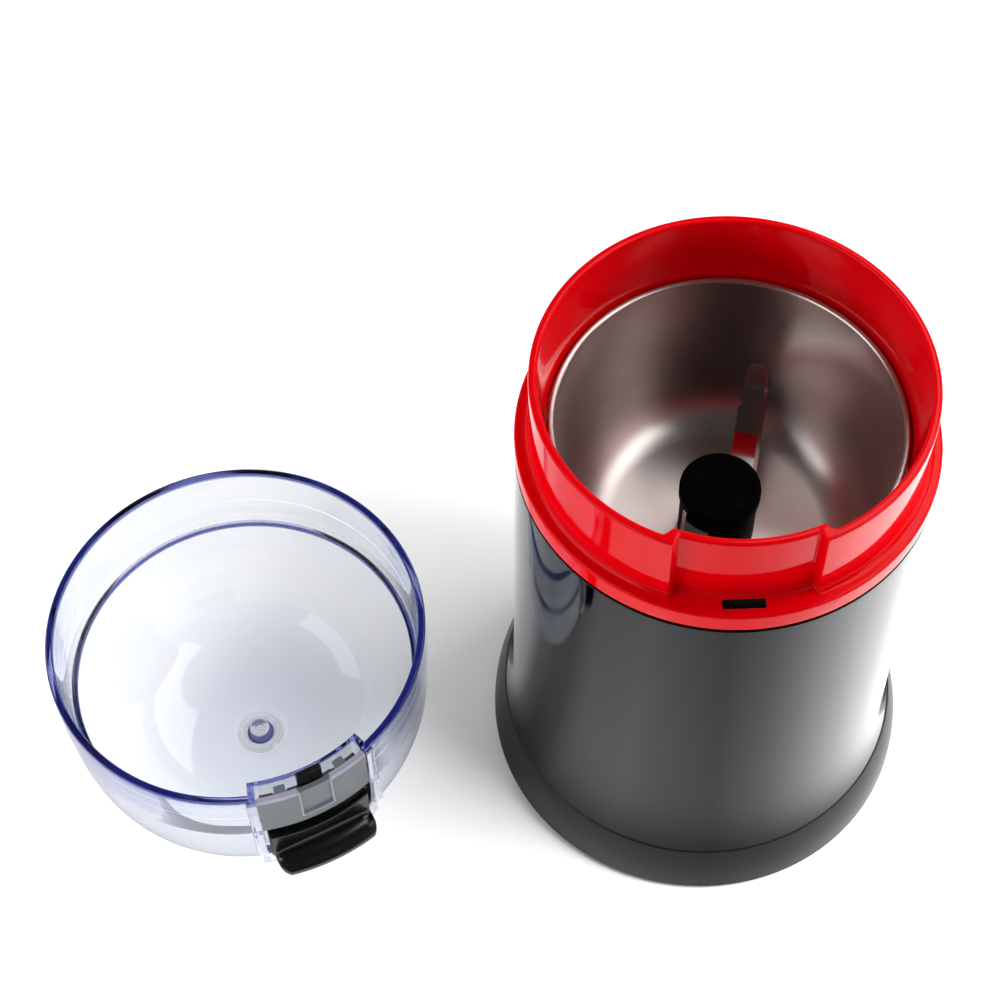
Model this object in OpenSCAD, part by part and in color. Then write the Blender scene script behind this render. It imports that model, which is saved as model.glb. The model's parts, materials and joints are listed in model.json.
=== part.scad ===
// Electric spice grinder: a motor base with a steel bowl, and its clear press-down lid,
// which is taken off and stands upside down on the same surface.
// Millimetres, +Z up. The origin is where the grinder's axis meets the surface it
// stands on, and the front, with the switch slot, faces -Y.

/* [Body] */
// Outer radius of the body under the collar, and of the collar's ledge
body_r = 47.5; // [46:0.5:50]
// Height of the body sleeve between the base ring and the collar
body_h = 111.3; // [108:0.1:125]
// Extra radius of the body at its foot
body_flare = 3.3; // [2:0.1:4]
// Extra radius that the body gains evenly from top to foot
body_taper = 1.1; // [0:0.1:1.5]
// Wall of the body sleeve
body_wall = 2.2; // [1.8:0.1:2.6]

/* [Base] */
// Height of the base ring
base_h = 15.7; // [15:0.1:20]
// How far the base ring's foot stands out beyond the body
base_flare = 3; // [1:0.1:5]
// Thickness of the base plate
plate_t = 2.2; // [1.8:0.1:3]
// Height that the rubber feet lift the base ring
foot_proud = 1.5; // [0.8:0.1:3]
// Radius of a rubber foot
foot_r = 5; // [4:0.1:6]
// Radius of the cord inlet's hole
inlet_r = 3.25; // [2.5:0.05:3.6]

/* [Collar] */
// Height of the ledge that the lid stands on
ledge_h = 5.3; // [4:0.1:8]
// Shadow gap between the body and the ledge
shadow_gap = 1; // [0.5:0.1:2]
// Height of the rim above the ledge
rim_h = 20.8; // [16:0.1:26]
// Width of the ledge outside the rim
ledge_w = 3.2; // [3:0.1:3.6]
// Wall of the rim
rim_wall = 1.9; // [1.5:0.1:2.2]
// Half of the angle that the latch notch spans
notch_half = 20.5; // [18:0.5:24]
// How far the notch steps in from the rim
notch_jog = 2.3; // [2:0.1:2.6]
// Length of the switch slot along the ledge
slot_len = 9.4; // [8:0.1:11]

/* [Bowl and blade] */
// Height of the bowl's bead above the ledge
bead_rise = 3.8; // [3:0.1:6]
// Depth of the bowl inside
bowl_depth = 45.6; // [40:0.1:48]
// Wall of the bowl
bowl_wall = 0.8; // [0.6:0.1:1]
// Radius of the flat floor of the bowl
bowl_floor_r = 25; // [20:0.5:28]
// Height of the blade above the bowl's floor
blade_rise = 14; // [11:0.1:18]
// Thickness of the blade
blade_t = 1.2; // [0.8:0.1:2]
// Gap between the blade's tips and the bowl
blade_gap = 2.2; // [1.5:0.1:5]
// Rise of the bent blade tips
tip_rise = 5; // [3:0.1:8]
// Direction of the blade's long axis from the front, seen from above
blade_az = 168; // [0:1:180]
// Radius of the cap over the blade
cap_r = 9.5; // [8:0.1:11]
// Height of the cap over the blade
cap_h = 3.2; // [2.5:0.1:5]

/* [Motor] */
// Radius of the motor shaft
shaft_r = 3.5; // [3:0.1:4]
// Radius of the armature
armature_r = 14.1; // [12:0.1:15]
// Gap between armature and stator
air_gap = 0.5; // [0.3:0.1:0.8]
// Height of the stacked laminations
stack_h = 24; // [18:0.5:26]
// Radius of the commutator
commutator_r = 9; // [7.5:0.1:10]
// Radius of the cooling fan
fan_r = 20; // [15:0.5:24]
// Height of the rubber motor mounts
mount_h = 5; // [4.5:0.1:6]
// Thickness of the bowl carrier's disc
carrier_t = 2.5; // [2:0.1:3]

/* [Lid] */
// Height of the lid
lid_h = 59.6; // [52:0.1:68]
// Wall of the lid's skirt
lid_wall = 2; // [1.6:0.1:2.2]
// Thickness of the lid's top
lid_top_t = 2.2; // [1.6:0.1:3]
// Centre of the lid along X, beside the grinder
lid_x = -118; // [-140:1:-116]
// Centre of the lid along Y
lid_y = -5.2; // [-20:0.1:20]
// Direction that the latch faces, from the front towards +X
latch_az = 25.5; // [0:0.5:60]

/* [Latch] */
// Travel of the lid's button
button_travel = 4; // [3:0.1:4.5]
// Height of the button's outer face
button_h = 12.7; // [11:0.1:13]
// How far the thumb lip stands out from the button's face
lip_out = 5.5; // [3:0.1:7]
// Height of the clear latch cover
cover_h = 16.8; // [15:0.1:17.5]
// Width of the prong that reaches the switch
prong_w = 6.6; // [5:0.1:7.5]
// Height that the prong stands above the lid's edge
prong_proud = 1.5; // [0.5:0.1:2]

/* [Hidden] */
$fn = 128;

// Clearances
cut = 1;            // how far a cutting tool runs past the surface it opens
fit = 0.2;          // loose fit between plastic pieces that lock together
slide = 0.1;        // sliding fit of a piece in its guide
run = 0.05;         // radial running fit of a shaft in its bush
snug = 0.03;        // radial fit of a piece pressed or threaded onto another

// Heights up the grinder's axis
seam_z = foot_proud + base_h;
sleeve_top = seam_z + body_h;
ledge_z = sleeve_top + shadow_gap;
ledge_top = ledge_z + ledge_h;
rim_top = ledge_top + rim_h;
bead_top = ledge_top + bead_rise;
bowl_floor = bead_top - bowl_depth;
bowl_under = bowl_floor - bowl_wall;
seat_h = 1.7;
carrier_top = bowl_under - seat_h;
carrier_z = carrier_top - carrier_t;
bracket_t = 2;
bracket_z = carrier_z - mount_h - bracket_t;
coil_over = 6.5;
stack_top = bracket_z - coil_over - 0.5;
stack_z = stack_top - stack_h;
stack_mid = stack_z + stack_h / 2;
commutator_h = 9;
commutator_z = stack_z - 7 - commutator_h;
brush_z = commutator_z + commutator_h / 2;
lower_t = 2;
lower_z = commutator_z - 7;
fan_h = 7;
fan_z = lower_z - 2.5 - fan_h;
shaft_z = fan_z - 0.5;
blade_z = bowl_floor + blade_rise;
hub_top = blade_z + blade_t + cap_h;
blade_side = 0.46 * cap_r; // how far each arm stands beside the axis

// Radii around the grinder's axis
seam_r = body_r + body_flare + 0.2;
rim_r = body_r - ledge_w;
rim_in_r = rim_r - rim_wall;
notch_r = rim_r - notch_jog;
notch_in_r = notch_r - rim_wall;
bead_r = notch_in_r - fit;
bead_w = 1.5;
bowl_in_r = bead_r - bead_w;
bowl_out_r = bowl_in_r + bowl_wall;
seat_r = bowl_out_r + 0.3;
sleeve_in_r = body_r - body_wall;
carrier_r = sleeve_in_r - 0.3;
carrier_wall = 2;
skirt_r = carrier_r - 0.1;
skirt_wall = 2.4;
slot_out_r = body_r - 2.3;
slot_w = 2.3;
slot_in_r = slot_out_r - slot_w;
post_r = 4;
post_ring_r = carrier_r - post_r - 0.5;
post_az = [45, 135, 225, 315];

// Base
plate_z = foot_proud + 0.5;
plate_top = plate_z + plate_t;
plate_r = seam_r - 0.6;
ring_in_r = plate_r - 1;
web_t = 2.2;
tongue_h = 4.3;
tongue_r = sleeve_r(tongue_h / body_h) - body_wall - fit;
tongue_wall = 1.8;
foot_ring_r = plate_r - 8.4;
foot_stud_r = 1.9;
screw_r = 1.45;
screw_head_r = 2.9;
screw_len = 13;
inlet_z = plate_top + 5.6;
inlet_neck_r = inlet_r + 1.05;
inlet_flange_r = inlet_r + 1.75;
inlet_seat_y = seam_r + 1;
inlet_face_y = inlet_seat_y + 2.6;
inlet_lock_y = sqrt(pow(ring_in_r, 2) - pow(inlet_flange_r, 2)) - 0.1;
inlet_end_y = inlet_lock_y - 2.3;

// Motor
stator_w = 2 * (post_ring_r - 9.5);
stator_d = 2 * (post_ring_r - 16.5);
stator_wall = 6.5;
stator_corner = 6;
stator_side = 5.5;
pole_w = 14;
shoe_t = 2.6;
stator_bore_r = armature_r + air_gap;
shoe_r = stator_bore_r + shoe_t;
coil_x = shoe_r + 1.1;
coil_t = stator_w / 2 - stator_side - coil_x - 0.3;
coil_corner = 5;
coil_wrap = (stator_d - pole_w) / 2 - stator_wall - 3.3;
bolt_r = 1.5;
bolt_x = stator_w / 2 - stator_side / 2;
bracket_w = 16;
leg_x = stator_w / 2 - 4.6;
bush_wall = 2;
bush_h = 5.6;
housing_r = shaft_r + run + bush_wall + 1;
mount_x = 12.5;
mount_y = 15.5;
mount_r = 4.5;
motor_screw_r = 1.5;
brush_w = 5;
brush_t = 6;
brush_len = 9.8;
holder_wall = 1.5;
holder_in = commutator_r + 1.6;
holder_out = commutator_r + 17.5;
spring_r = 2.2;

// Switch
plunger_w = slot_len - 0.8;
plunger_t = 1.2;
plunger_y = slot_in_r + slide + plunger_t / 2;
plunger_drop = 3.5;
plunger_travel = button_travel + prong_proud - plunger_drop;
plunger_top = ledge_top - plunger_drop;
stud_r = 1.2;
stud_y = plunger_y - 0.6;
flange_z = carrier_top + 8.4;
flange_h = 2;
flange_half = slot_len / 2 + 1.1;
switch_w = 13;
switch_d = 6.2;
switch_h = 10.5;
button_sunk = 3;
button_x = 1.4;
button_y = 0.95;
tab_x = 3.5;
tab_w = 3;
tab_t = 0.8;
tab_h = 7;
switch_top = carrier_z - 4.5;
switch_y = stud_y + 1.8;
button_pin_top = switch_top + plunger_travel + 0.1;
window_half = flange_half + 0.4;

// Wiring on the base plate
terminal_w = 20;
terminal_d = 9;
terminal_h = 9;
terminal_screw_r = 1.6;
terminal_y = plate_r - 16.4;
capacitor_w = 13;
capacitor_t = 5;
capacitor_h = 10;
capacitor_y = terminal_y - 10;

// Lid, in its own frame: opening up, latch facing -Y
lid_r = body_r;
lid_in_r = lid_r - lid_wall;
shelf_z = lid_h - rim_h - fit;
shelf_r = rim_r - 1.3;
band_z = lid_h - 12.9;
band_h = 3.6;
band_deep = 0.4;
dome_r = lid_r - band_deep;
dome_h = band_z - band_h;
outer_power = 2.9;
inner_power = 3.2;
channel_r = notch_r + fit;
channel_wall = 0.9;
channel_half = notch_half - 0.7;
cavity_half = channel_half - 2.2;
cavity_z = lid_h - 36.4;
channel_z = cavity_z - 1.2;
cheek_half = cavity_half + 3;
cheek_r = lid_r + 1.8;
cheek_z = lid_h - 30.6;
cover_r = lid_r + 0.4;
cover_t = 1.3;
cover_half = cavity_half - 0.2;
cover_z = lid_h - cover_h;
window_h = 13.2;
window_deep = 0.5;
slab_in_r = channel_r + channel_wall + fit;
slab_r = cover_r - cover_t - 0.3;
slab_half = cavity_half - 0.8;
slab_z = cavity_z + fit;
slab_top = lid_h - 5.6;
face_r = slab_r + 2;
face_top = cover_z - button_travel - 0.5;
face_z = face_top - button_h;
face_half = cavity_half - 1.2;
lip_t = 2.6;
lip_w = 26.4;
lip_corner = 5;
lip_r = face_r + lip_out;
prong_in_r = slot_in_r + 0.6;
prong_out_r = slot_out_r - 0.3;
coil_spring_r = 1.25;
coil_spring_az = 10;
coil_spring_y = (slab_in_r + slab_r) / 2;
lug_z = lid_h - 2.2;
lug_t = 1.4;
lug_half = 1.8;
spring_seat = slab_top - 4.5;
nub_r = 2.8;
nub_h = 1.3;

// ---------------------------------------------------------------- helpers

// Straight ring between two radii and two heights
module ring(r_out, r_in, z0, z1) {
    translate([0, 0, z0])
        difference() {
            cylinder(r = r_out, h = z1 - z0);
            translate([0, 0, -cut]) cylinder(r = r_in, h = z1 - z0 + 2 * cut);
        }
}

// Block given by its two corners
module block(low, high) {
    translate(low) cube(high - low);
}

// Prism that spans the angles a0 to a1, counted from -Y towards +X
module sector(a0, a1, r, z0, z1) {
    reach = r / cos((a1 - a0) / 2) + cut;
    translate([0, 0, z0])
        linear_extrude(height = z1 - z0)
            polygon([
                [0, 0],
                [reach * sin(a0), -reach * cos(a0)],
                [reach * sin(a1), -reach * cos(a1)]
            ]);
}

// Part of a ring between two angles
module ring_sector(r_out, r_in, a0, a1, z0, z1) {
    intersection() {
        ring(r_out, r_in, z0, z1);
        sector(a0, a1, r_out, z0, z1);
    }
}

// Rectangle with round corners, centred
module round_rect(w, h, r) {
    square([w - 2 * r, h], center = true);
    square([w, h - 2 * r], center = true);
    for (x = [-1, 1], y = [-1, 1])
        translate([x * (w / 2 - r), y * (h / 2 - r)]) circle(r = r, $fn = 32);
}

// Copies of a piece at the four posts
module at_posts() {
    for (a = post_az)
        rotate([0, 0, a]) translate([post_ring_r, 0, 0]) children();
}

// Copies of a piece at the four motor mounts
module at_mounts() {
    for (x = [-1, 1], y = [-1, 1])
        translate([x * mount_x, y * mount_y, 0]) children();
}

// The lid's own frame, placed beside the grinder
module at_lid() {
    translate([lid_x, lid_y, 0]) rotate([0, 0, latch_az]) children();
}

// ---------------------------------------------------------------- base

module base_plate() {
    color([0.16, 0.16, 0.17])
        difference() {
            translate([0, 0, plate_z]) cylinder(r = plate_r, h = plate_t);
            at_posts() {
                translate([0, 0, plate_z - cut])
                    cylinder(r = screw_r + slide, h = plate_t + 2 * cut);
                translate([0, 0, plate_z - 0.01])
                    cylinder(r1 = screw_head_r + slide, r2 = screw_r + slide, h = 1.5);
            }
            for (a = [0, 90, 180, 270])
                rotate([0, 0, a]) translate([foot_ring_r, 0, plate_z - cut])
                    cylinder(r = foot_stud_r + slide, h = plate_t + 2 * cut);
            for (a = [0 : 30 : 330])
                rotate([0, 0, a])
                    block([8, -1.2, plate_z - cut], [17, 1.2, plate_top + cut]);
        }
}

function ring_out_r(u) = seam_r + base_flare * (1 - pow(u, 2.5));

module base_ring() {
    steps = 8;
    color([0.27, 0.27, 0.28])
        difference() {
            rotate_extrude()
                polygon(concat(
                    [for (i = [0 : steps]) [ring_out_r(i / steps), foot_proud + base_h * i / steps]],
                    [
                        [tongue_r, seam_z],
                        [tongue_r, seam_z + tongue_h],
                        [tongue_r - tongue_wall, seam_z + tongue_h],
                        [tongue_r - tongue_wall, seam_z - web_t],
                        [ring_in_r, seam_z - web_t],
                        [ring_in_r, plate_top],
                        [plate_r + fit, plate_top],
                        [plate_r + fit, foot_proud]
                    ]
                ));
            translate([0, inlet_end_y, inlet_z]) rotate([-90, 0, 0])
                cylinder(r = inlet_neck_r + slide, h = seam_r + base_flare);
            translate([0, inlet_seat_y, inlet_z]) rotate([-90, 0, 0])
                cylinder(r = inlet_flange_r + slide, h = base_flare + 3);
        }
}

module rubber_feet() {
    color([0.08, 0.08, 0.08])
        for (a = [0, 90, 180, 270])
            rotate([0, 0, a]) translate([foot_ring_r, 0, 0]) {
                cylinder(r = foot_r, h = plate_z);
                cylinder(r = foot_stud_r, h = plate_top + 0.8);
            }
}

module base_screws() {
    color([0.7, 0.7, 0.72])
        at_posts() {
            translate([0, 0, plate_z])
                cylinder(r1 = screw_head_r, r2 = screw_r, h = 1.5);
            translate([0, 0, plate_z + 0.5]) cylinder(r = screw_r, h = screw_len);
        }
}

module cord_inlet() {
    color([0.06, 0.06, 0.06])
        translate([0, inlet_end_y, inlet_z]) rotate([-90, 0, 0])
            difference() {
                union() {
                    cylinder(r = inlet_flange_r, h = inlet_lock_y - inlet_end_y);
                    cylinder(r = inlet_neck_r, h = inlet_face_y - inlet_end_y);
                    translate([0, 0, inlet_seat_y - inlet_end_y])
                        cylinder(r = inlet_flange_r, h = inlet_face_y - inlet_seat_y);
                }
                translate([0, 0, -cut])
                    cylinder(r = inlet_r, h = inlet_face_y - inlet_end_y + 2 * cut);
            }
}

// ---------------------------------------------------------------- body and collar

// Outer radius of the sleeve at a share t of its height
function sleeve_r(t) = body_r + body_taper * (1 - t) + (body_flare - body_taper) * pow(1 - t, 12);

module body_sleeve() {
    steps = 14;
    levels = [for (i = [0 : steps]) pow(i / steps, 2)];
    color([0.33, 0.34, 0.35])
        rotate_extrude()
            polygon(concat(
                [for (t = levels) [sleeve_r(t), seam_z + body_h * t]],
                [for (i = [steps : -1 : 0])
                    [sleeve_r(levels[i]) - body_wall, seam_z + body_h * levels[i]]]
            ));
}

// Section of the collar away from the notch
module collar_section() {
    cove = 1.6;
    lip_z = bead_top - 2.2;
    polygon(concat(
        [
            [skirt_r - skirt_wall, sleeve_top - 7.1],
            [skirt_r, sleeve_top - 7.1],
            [skirt_r, sleeve_top],
            [body_r - 0.9, sleeve_top],
            [body_r - 0.9, ledge_z],
            [body_r, ledge_z],
            [body_r, ledge_top - 0.5],
            [body_r - 0.5, ledge_top]
        ],
        [for (a = [0 : 18 : 90])
            [rim_r + cove * (1 - sin(a)), ledge_top + cove * (1 - cos(a))]],
        [
            [rim_r, rim_top - 0.6],
            [rim_r - 0.5, rim_top],
            [rim_in_r + 0.5, rim_top],
            [rim_in_r, rim_top - 0.5],
            [bead_r + 0.7, bead_top + 0.6],
            [bead_r + 0.5, lip_z],
            [seat_r, lip_z],
            [seat_r, lip_z - 2.4],
            [skirt_r - skirt_wall - 1, ledge_top - 2.8],
            [skirt_r - skirt_wall, ledge_top - 2.8]
        ]
    ));
}

module collar() {
    ear = 2.5;
    slot_half = slot_len / 2;
    color([0.86, 0.02, 0.06])
        difference() {
            union() {
                rotate_extrude() collar_section();
                ring_sector((rim_r + rim_in_r) / 2, notch_in_r, -notch_half - ear, notch_half + ear,
                    ledge_top - 0.4, rim_top);
            }
            difference() {
                sector(-notch_half, notch_half, body_r, ledge_top, rim_top + cut);
                translate([0, 0, ledge_top - cut]) cylinder(r = notch_r, h = rim_h + 3 * cut);
            }
            block([-slot_half, -slot_out_r, ledge_z - cut], [slot_half, -slot_in_r, ledge_top + cut]);
            block(
                [-slot_half - 0.5, -slot_out_r, sleeve_top - 7.1 - cut],
                [slot_half + 0.5, -skirt_r + skirt_wall + 0.6, ledge_z]
            );
        }
}

// ---------------------------------------------------------------- bowl and its carrier

// Points of a quarter ellipse from the bowl's floor up to its wall
function bowl_corner(r_edge, z_edge, rise, steps) = [
    for (i = [0 : steps])
        let (a = 90 * i / steps)
        [bowl_floor_r + (r_edge - bowl_floor_r) * sin(a), z_edge + rise * (1 - cos(a))]
];

module bowl() {
    rise = 13;
    narrow = 1.1;
    hole_r = shaft_r + 1.6;
    outside = bowl_corner(bowl_out_r - narrow, bowl_under, rise + bowl_wall, 8);
    inside = bowl_corner(bowl_in_r - narrow, bowl_floor, rise, 8);
    color([0.72, 0.69, 0.67])
        rotate_extrude()
            polygon(concat(
                [[hole_r, bowl_under]],
                outside,
                [
                    [bowl_out_r, bead_top - 1.4],
                    [bead_r, bead_top - 1.4],
                    [bead_r, bead_top - 0.6],
                    [bead_r - 0.4, bead_top],
                    [bowl_in_r + 0.5, bead_top],
                    [bowl_in_r, bead_top - 0.5]
                ],
                [for (i = [8 : -1 : 0]) inside[i]],
                [[hole_r, bowl_floor]]
            ));
}

module bowl_gasket() {
    color([0.75, 0.75, 0.72])
        ring(bead_r, bowl_out_r + slide, bead_top - 2.2, bead_top - 1.4);
}

module bowl_carrier() {
    tube_top = sleeve_top - 7.1;
    color([0.2, 0.2, 0.21])
        difference() {
            union() {
                ring(carrier_r, shaft_r + 4.55, carrier_z, carrier_top);
                ring(carrier_r, carrier_r - carrier_wall, carrier_top, tube_top);
                ring(bowl_floor_r - 1, shaft_r + 8.5, carrier_top, bowl_under);
                at_posts() translate([0, 0, plate_top])
                    cylinder(r = post_r, h = carrier_z - plate_top, $fn = 48);
            }
            at_posts() translate([0, 0, plate_top - cut])
                cylinder(r = screw_r + snug, h = screw_len);
            at_mounts() translate([0, 0, carrier_z - cut])
                cylinder(r = motor_screw_r + snug, h = carrier_t + cut - 0.4);
            translate([0, -stud_y, carrier_z - cut])
                cylinder(r = stud_r + slide, h = carrier_t + 2 * cut, $fn = 48);
            block(
                [-window_half, -carrier_r - cut, carrier_top],
                [window_half, -stud_y + 3, flange_z + flange_h + 0.1]
            );
            block(
                [-plunger_w / 2 - 0.3, -carrier_r - cut, carrier_top],
                [plunger_w / 2 + 0.3, -stud_y + 3, tube_top + cut]
            );
        }
}

module shaft_seal() {
    color([0.1, 0.1, 0.1])
        ring(shaft_r + 4.5, shaft_r + 0.08, carrier_z, bowl_under);
}

// ---------------------------------------------------------------- motor

module rubber_mounts() {
    color([0.09, 0.09, 0.09])
        at_mounts() ring(mount_r, motor_screw_r + slide, carrier_z - mount_h, carrier_z);
}

module motor_screws() {
    color([0.75, 0.75, 0.76])
        at_mounts() {
            translate([0, 0, bracket_z - 1.8]) cylinder(r = 2.8, h = 1.8, $fn = 32);
            translate([0, 0, bracket_z - 1])
                cylinder(r = motor_screw_r, h = mount_h + bracket_t + 1 + carrier_t - 0.6);
        }
}

module upper_bracket() {
    color([0.78, 0.78, 0.8])
        difference() {
            union() {
                block([-stator_w / 2, -bracket_w / 2, bracket_z],
                    [stator_w / 2, bracket_w / 2, bracket_z + bracket_t]);
                translate([0, 0, bracket_z]) linear_extrude(height = bracket_t)
                    round_rect(2 * (mount_x + mount_r + 0.5), 2 * (mount_y + mount_r), 4);
                for (side = [-1, 1])
                    translate([side * (stator_w / 2 + leg_x - 0.8) / 2, 0, (stack_top + bracket_z) / 2])
                        cube([stator_w / 2 - leg_x + 0.8, bracket_w, bracket_z - stack_top],
                            center = true);
                translate([0, 0, bracket_z - 1])
                    cylinder(r = housing_r, h = bush_h + 0.4);
            }
            translate([0, 0, bracket_z - 1 - cut])
                cylinder(r = housing_r - 1, h = bush_h + 0.4 + 2 * cut);
            at_mounts() translate([0, 0, bracket_z - cut])
                cylinder(r = motor_screw_r + slide, h = bracket_t + 2 * cut);
            for (side = [-1, 1])
                translate([side * bolt_x, 0, stack_top - cut])
                    cylinder(r = bolt_r + slide, h = bracket_z + bracket_t - stack_top + 2 * cut);
        }
}

module upper_bush() {
    color([0.72, 0.55, 0.3])
        ring(housing_r - 1, shaft_r + run, bracket_z - 0.8, bracket_z - 0.8 + bush_h);
}

// Inside of the lamination: the coil windows, with the two poles left standing
module stator_opening() {
    difference() {
        square([stator_w - 2 * stator_side, stator_d - 2 * stator_wall], center = true);
        square([stator_w, pole_w], center = true);
        intersection() {
            circle(r = shoe_r);
            for (side = [-1, 1])
                polygon([[0, 0], [side * 30, 44], [side * 30, -44]]);
        }
    }
    circle(r = stator_bore_r);
}

module stator_core() {
    x = stator_w / 2;
    y = stator_d / 2;
    corner = stator_corner;
    color([0.45, 0.46, 0.48])
        translate([0, 0, stack_z])
            linear_extrude(height = stack_h)
                difference() {
                    polygon([
                        [x, y - corner], [x - corner, y], [corner - x, y], [-x, y - corner],
                        [-x, corner - y], [corner - x, -y], [x - corner, -y], [x, corner - y]
                    ]);
                    stator_opening();
                    for (side = [-1, 1])
                        translate([side * bolt_x, 0]) circle(r = bolt_r + slide);
                }
}

module field_coils() {
    hole_w = pole_w + 0.6;
    hole_h = stack_h + 0.6;
    coil_w = hole_w + 2 * coil_wrap;
    coil_h = hole_h + 2 * (coil_over - 0.3);
    color([0.72, 0.33, 0.14])
        for (side = [-1, 1])
            translate([side * (coil_x + coil_t / 2), 0, stack_mid])
                rotate([90, 0, 90])
                    translate([0, 0, -coil_t / 2])
                        linear_extrude(height = coil_t)
                            difference() {
                                round_rect(coil_w, coil_h, coil_corner);
                                square([hole_w, hole_h], center = true);
                            }
}

module stator_bolts() {
    color([0.7, 0.7, 0.72])
        for (side = [-1, 1])
            translate([side * bolt_x, 0, 0]) {
                translate([0, 0, lower_z - 2.2])
                    cylinder(r = bolt_r, h = bracket_z + bracket_t - lower_z + 3);
                translate([0, 0, bracket_z + bracket_t]) cylinder(r = 2.8, h = 2, $fn = 32);
                translate([0, 0, lower_z - 2.4]) cylinder(r = 3, h = 2.4, $fn = 6);
            }
}

module lower_bracket() {
    arm_w = brush_w + 2 * holder_wall;
    stand_top = brush_z - brush_t / 2 - slide - holder_wall;
    color([0.12, 0.12, 0.13])
        difference() {
            union() {
                block([-stator_w / 2, -bracket_w / 2, lower_z],
                    [stator_w / 2, bracket_w / 2, lower_z + lower_t]);
                block([-arm_w / 2, -holder_out - 1, lower_z],
                    [arm_w / 2, holder_out + 1, lower_z + lower_t]);
                for (side = [-1, 1]) {
                    translate([side * (stator_w / 2 + leg_x) / 2, 0, (lower_z + stack_z) / 2])
                        cube([stator_w / 2 - leg_x, bracket_w, stack_z - lower_z], center = true);
                    translate([0, side * (holder_in + holder_out + 2) / 2, (lower_z + stand_top) / 2])
                        cube([arm_w, holder_out - holder_in - 2, stand_top - lower_z], center = true);
                }
                translate([0, 0, lower_z - 1.5]) cylinder(r = housing_r, h = bush_h + 0.4);
            }
            translate([0, 0, lower_z - 1.5 - cut])
                cylinder(r = housing_r - 1, h = bush_h + 0.4 + 2 * cut);
            for (side = [-1, 1])
                translate([side * bolt_x, 0, lower_z - cut])
                    cylinder(r = bolt_r + slide, h = stack_z - lower_z + 2 * cut);
        }
}

module lower_bush() {
    color([0.72, 0.55, 0.3])
        ring(housing_r - 1, shaft_r + run, lower_z - 1.3, lower_z - 1.3 + bush_h);
}

module brush_holders() {
    half_x = brush_w / 2 + slide;
    half_z = brush_t / 2 + slide;
    color([0.8, 0.65, 0.35])
        for (side = [0, 180])
            rotate([0, 0, side])
                difference() {
                    block(
                        [-half_x - holder_wall, holder_in, brush_z - half_z - holder_wall],
                        [half_x + holder_wall, holder_out, brush_z + half_z + holder_wall]
                    );
                    block([-half_x, holder_in - cut, brush_z - half_z],
                        [half_x, holder_out - 1.3, brush_z + half_z]);
                }
}

module brushes() {
    tip = commutator_r + 0.08;
    color([0.15, 0.15, 0.16])
        for (side = [0, 180])
            rotate([0, 0, side])
                difference() {
                    block([-brush_w / 2, 6, brush_z - brush_t / 2],
                        [brush_w / 2, tip + brush_len, brush_z + brush_t / 2]);
                    translate([0, 0, brush_z - brush_t]) cylinder(r = tip, h = 2 * brush_t);
                }
}

module brush_springs() {
    start = commutator_r + 0.08 + brush_len;
    color([0.75, 0.75, 0.77])
        for (side = [0, 180])
            rotate([0, 0, side])
                translate([0, start, brush_z]) rotate([-90, 0, 0])
                    ring(spring_r, spring_r - 0.6, 0, holder_out - 1.3 - start);
}

module motor_shaft() {
    color([0.8, 0.8, 0.82])
        translate([0, 0, shaft_z])
            cylinder(r = shaft_r, h = hub_top - 1.6 - shaft_z);
}

module armature_core() {
    slots = 12;
    slot_r = 1.9;
    color([0.42, 0.43, 0.45])
        translate([0, 0, stack_z])
            linear_extrude(height = stack_h)
                difference() {
                    circle(r = armature_r);
                    circle(r = shaft_r + snug);
                    for (i = [0 : slots - 1])
                        rotate([0, 0, (i + 0.5) * 360 / slots]) {
                            translate([armature_r - slot_r - 1.6, 0]) circle(r = slot_r, $fn = 24);
                            translate([armature_r - 1, 0]) square([4, 1.2], center = true);
                        }
                }
}

module armature_windings() {
    deep = 5.4;
    out_r = armature_r - 0.9;
    in_r = shaft_r + 1.8;
    color([0.75, 0.36, 0.15])
        for (end = [0, 1])
            translate([0, 0, end == 0 ? stack_z : stack_top])
                mirror([0, 0, 1 - end])
                    rotate_extrude()
                        polygon([
                            [in_r, 0], [out_r, 0], [out_r, deep - 2],
                            [out_r - 2, deep], [in_r + 1.5, deep], [in_r, deep - 1.5]
                        ]);
}

module commutator() {
    bars = 12;
    color([0.8, 0.5, 0.25])
        translate([0, 0, commutator_z])
            linear_extrude(height = commutator_h)
                difference() {
                    circle(r = commutator_r);
                    circle(r = shaft_r + snug);
                    for (i = [0 : bars - 1])
                        rotate([0, 0, i * 360 / bars])
                            translate([commutator_r, 0]) square([1.6, 0.5], center = true);
                }
}

module cooling_fan() {
    blades = 9;
    disc_t = 1.2;
    color([0.85, 0.85, 0.82])
        difference() {
            union() {
                translate([0, 0, fan_z]) cylinder(r = shaft_r + 2.5, h = fan_h);
                translate([0, 0, fan_z + fan_h - disc_t]) cylinder(r = fan_r, h = disc_t);
                for (i = [0 : blades - 1])
                    rotate([0, 0, i * 360 / blades])
                        block([shaft_r + 1.5, -0.6, fan_z], [fan_r - 0.5, 0.6, fan_z + fan_h - disc_t]);
            }
            translate([0, 0, fan_z - cut]) cylinder(r = shaft_r + snug, h = fan_h + 2 * cut);
        }
}

// ---------------------------------------------------------------- blade and hub

module blade_hub() {
    color([0.05, 0.05, 0.05])
        ring(cap_r - 0.5, shaft_r + snug, bowl_floor + 0.6, blade_z);
}

// Outline of one blade arm, pointing along +X, up to its bend
module blade_arm_outline(reach) {
    translate([0, -blade_side]) polygon([
        [-1, -3.3], [reach, -3.2], [reach, 2.6], [reach * 0.85, 2.5], [reach * 0.82, 3.3], [-1, 3.3]
    ]);
}

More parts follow.
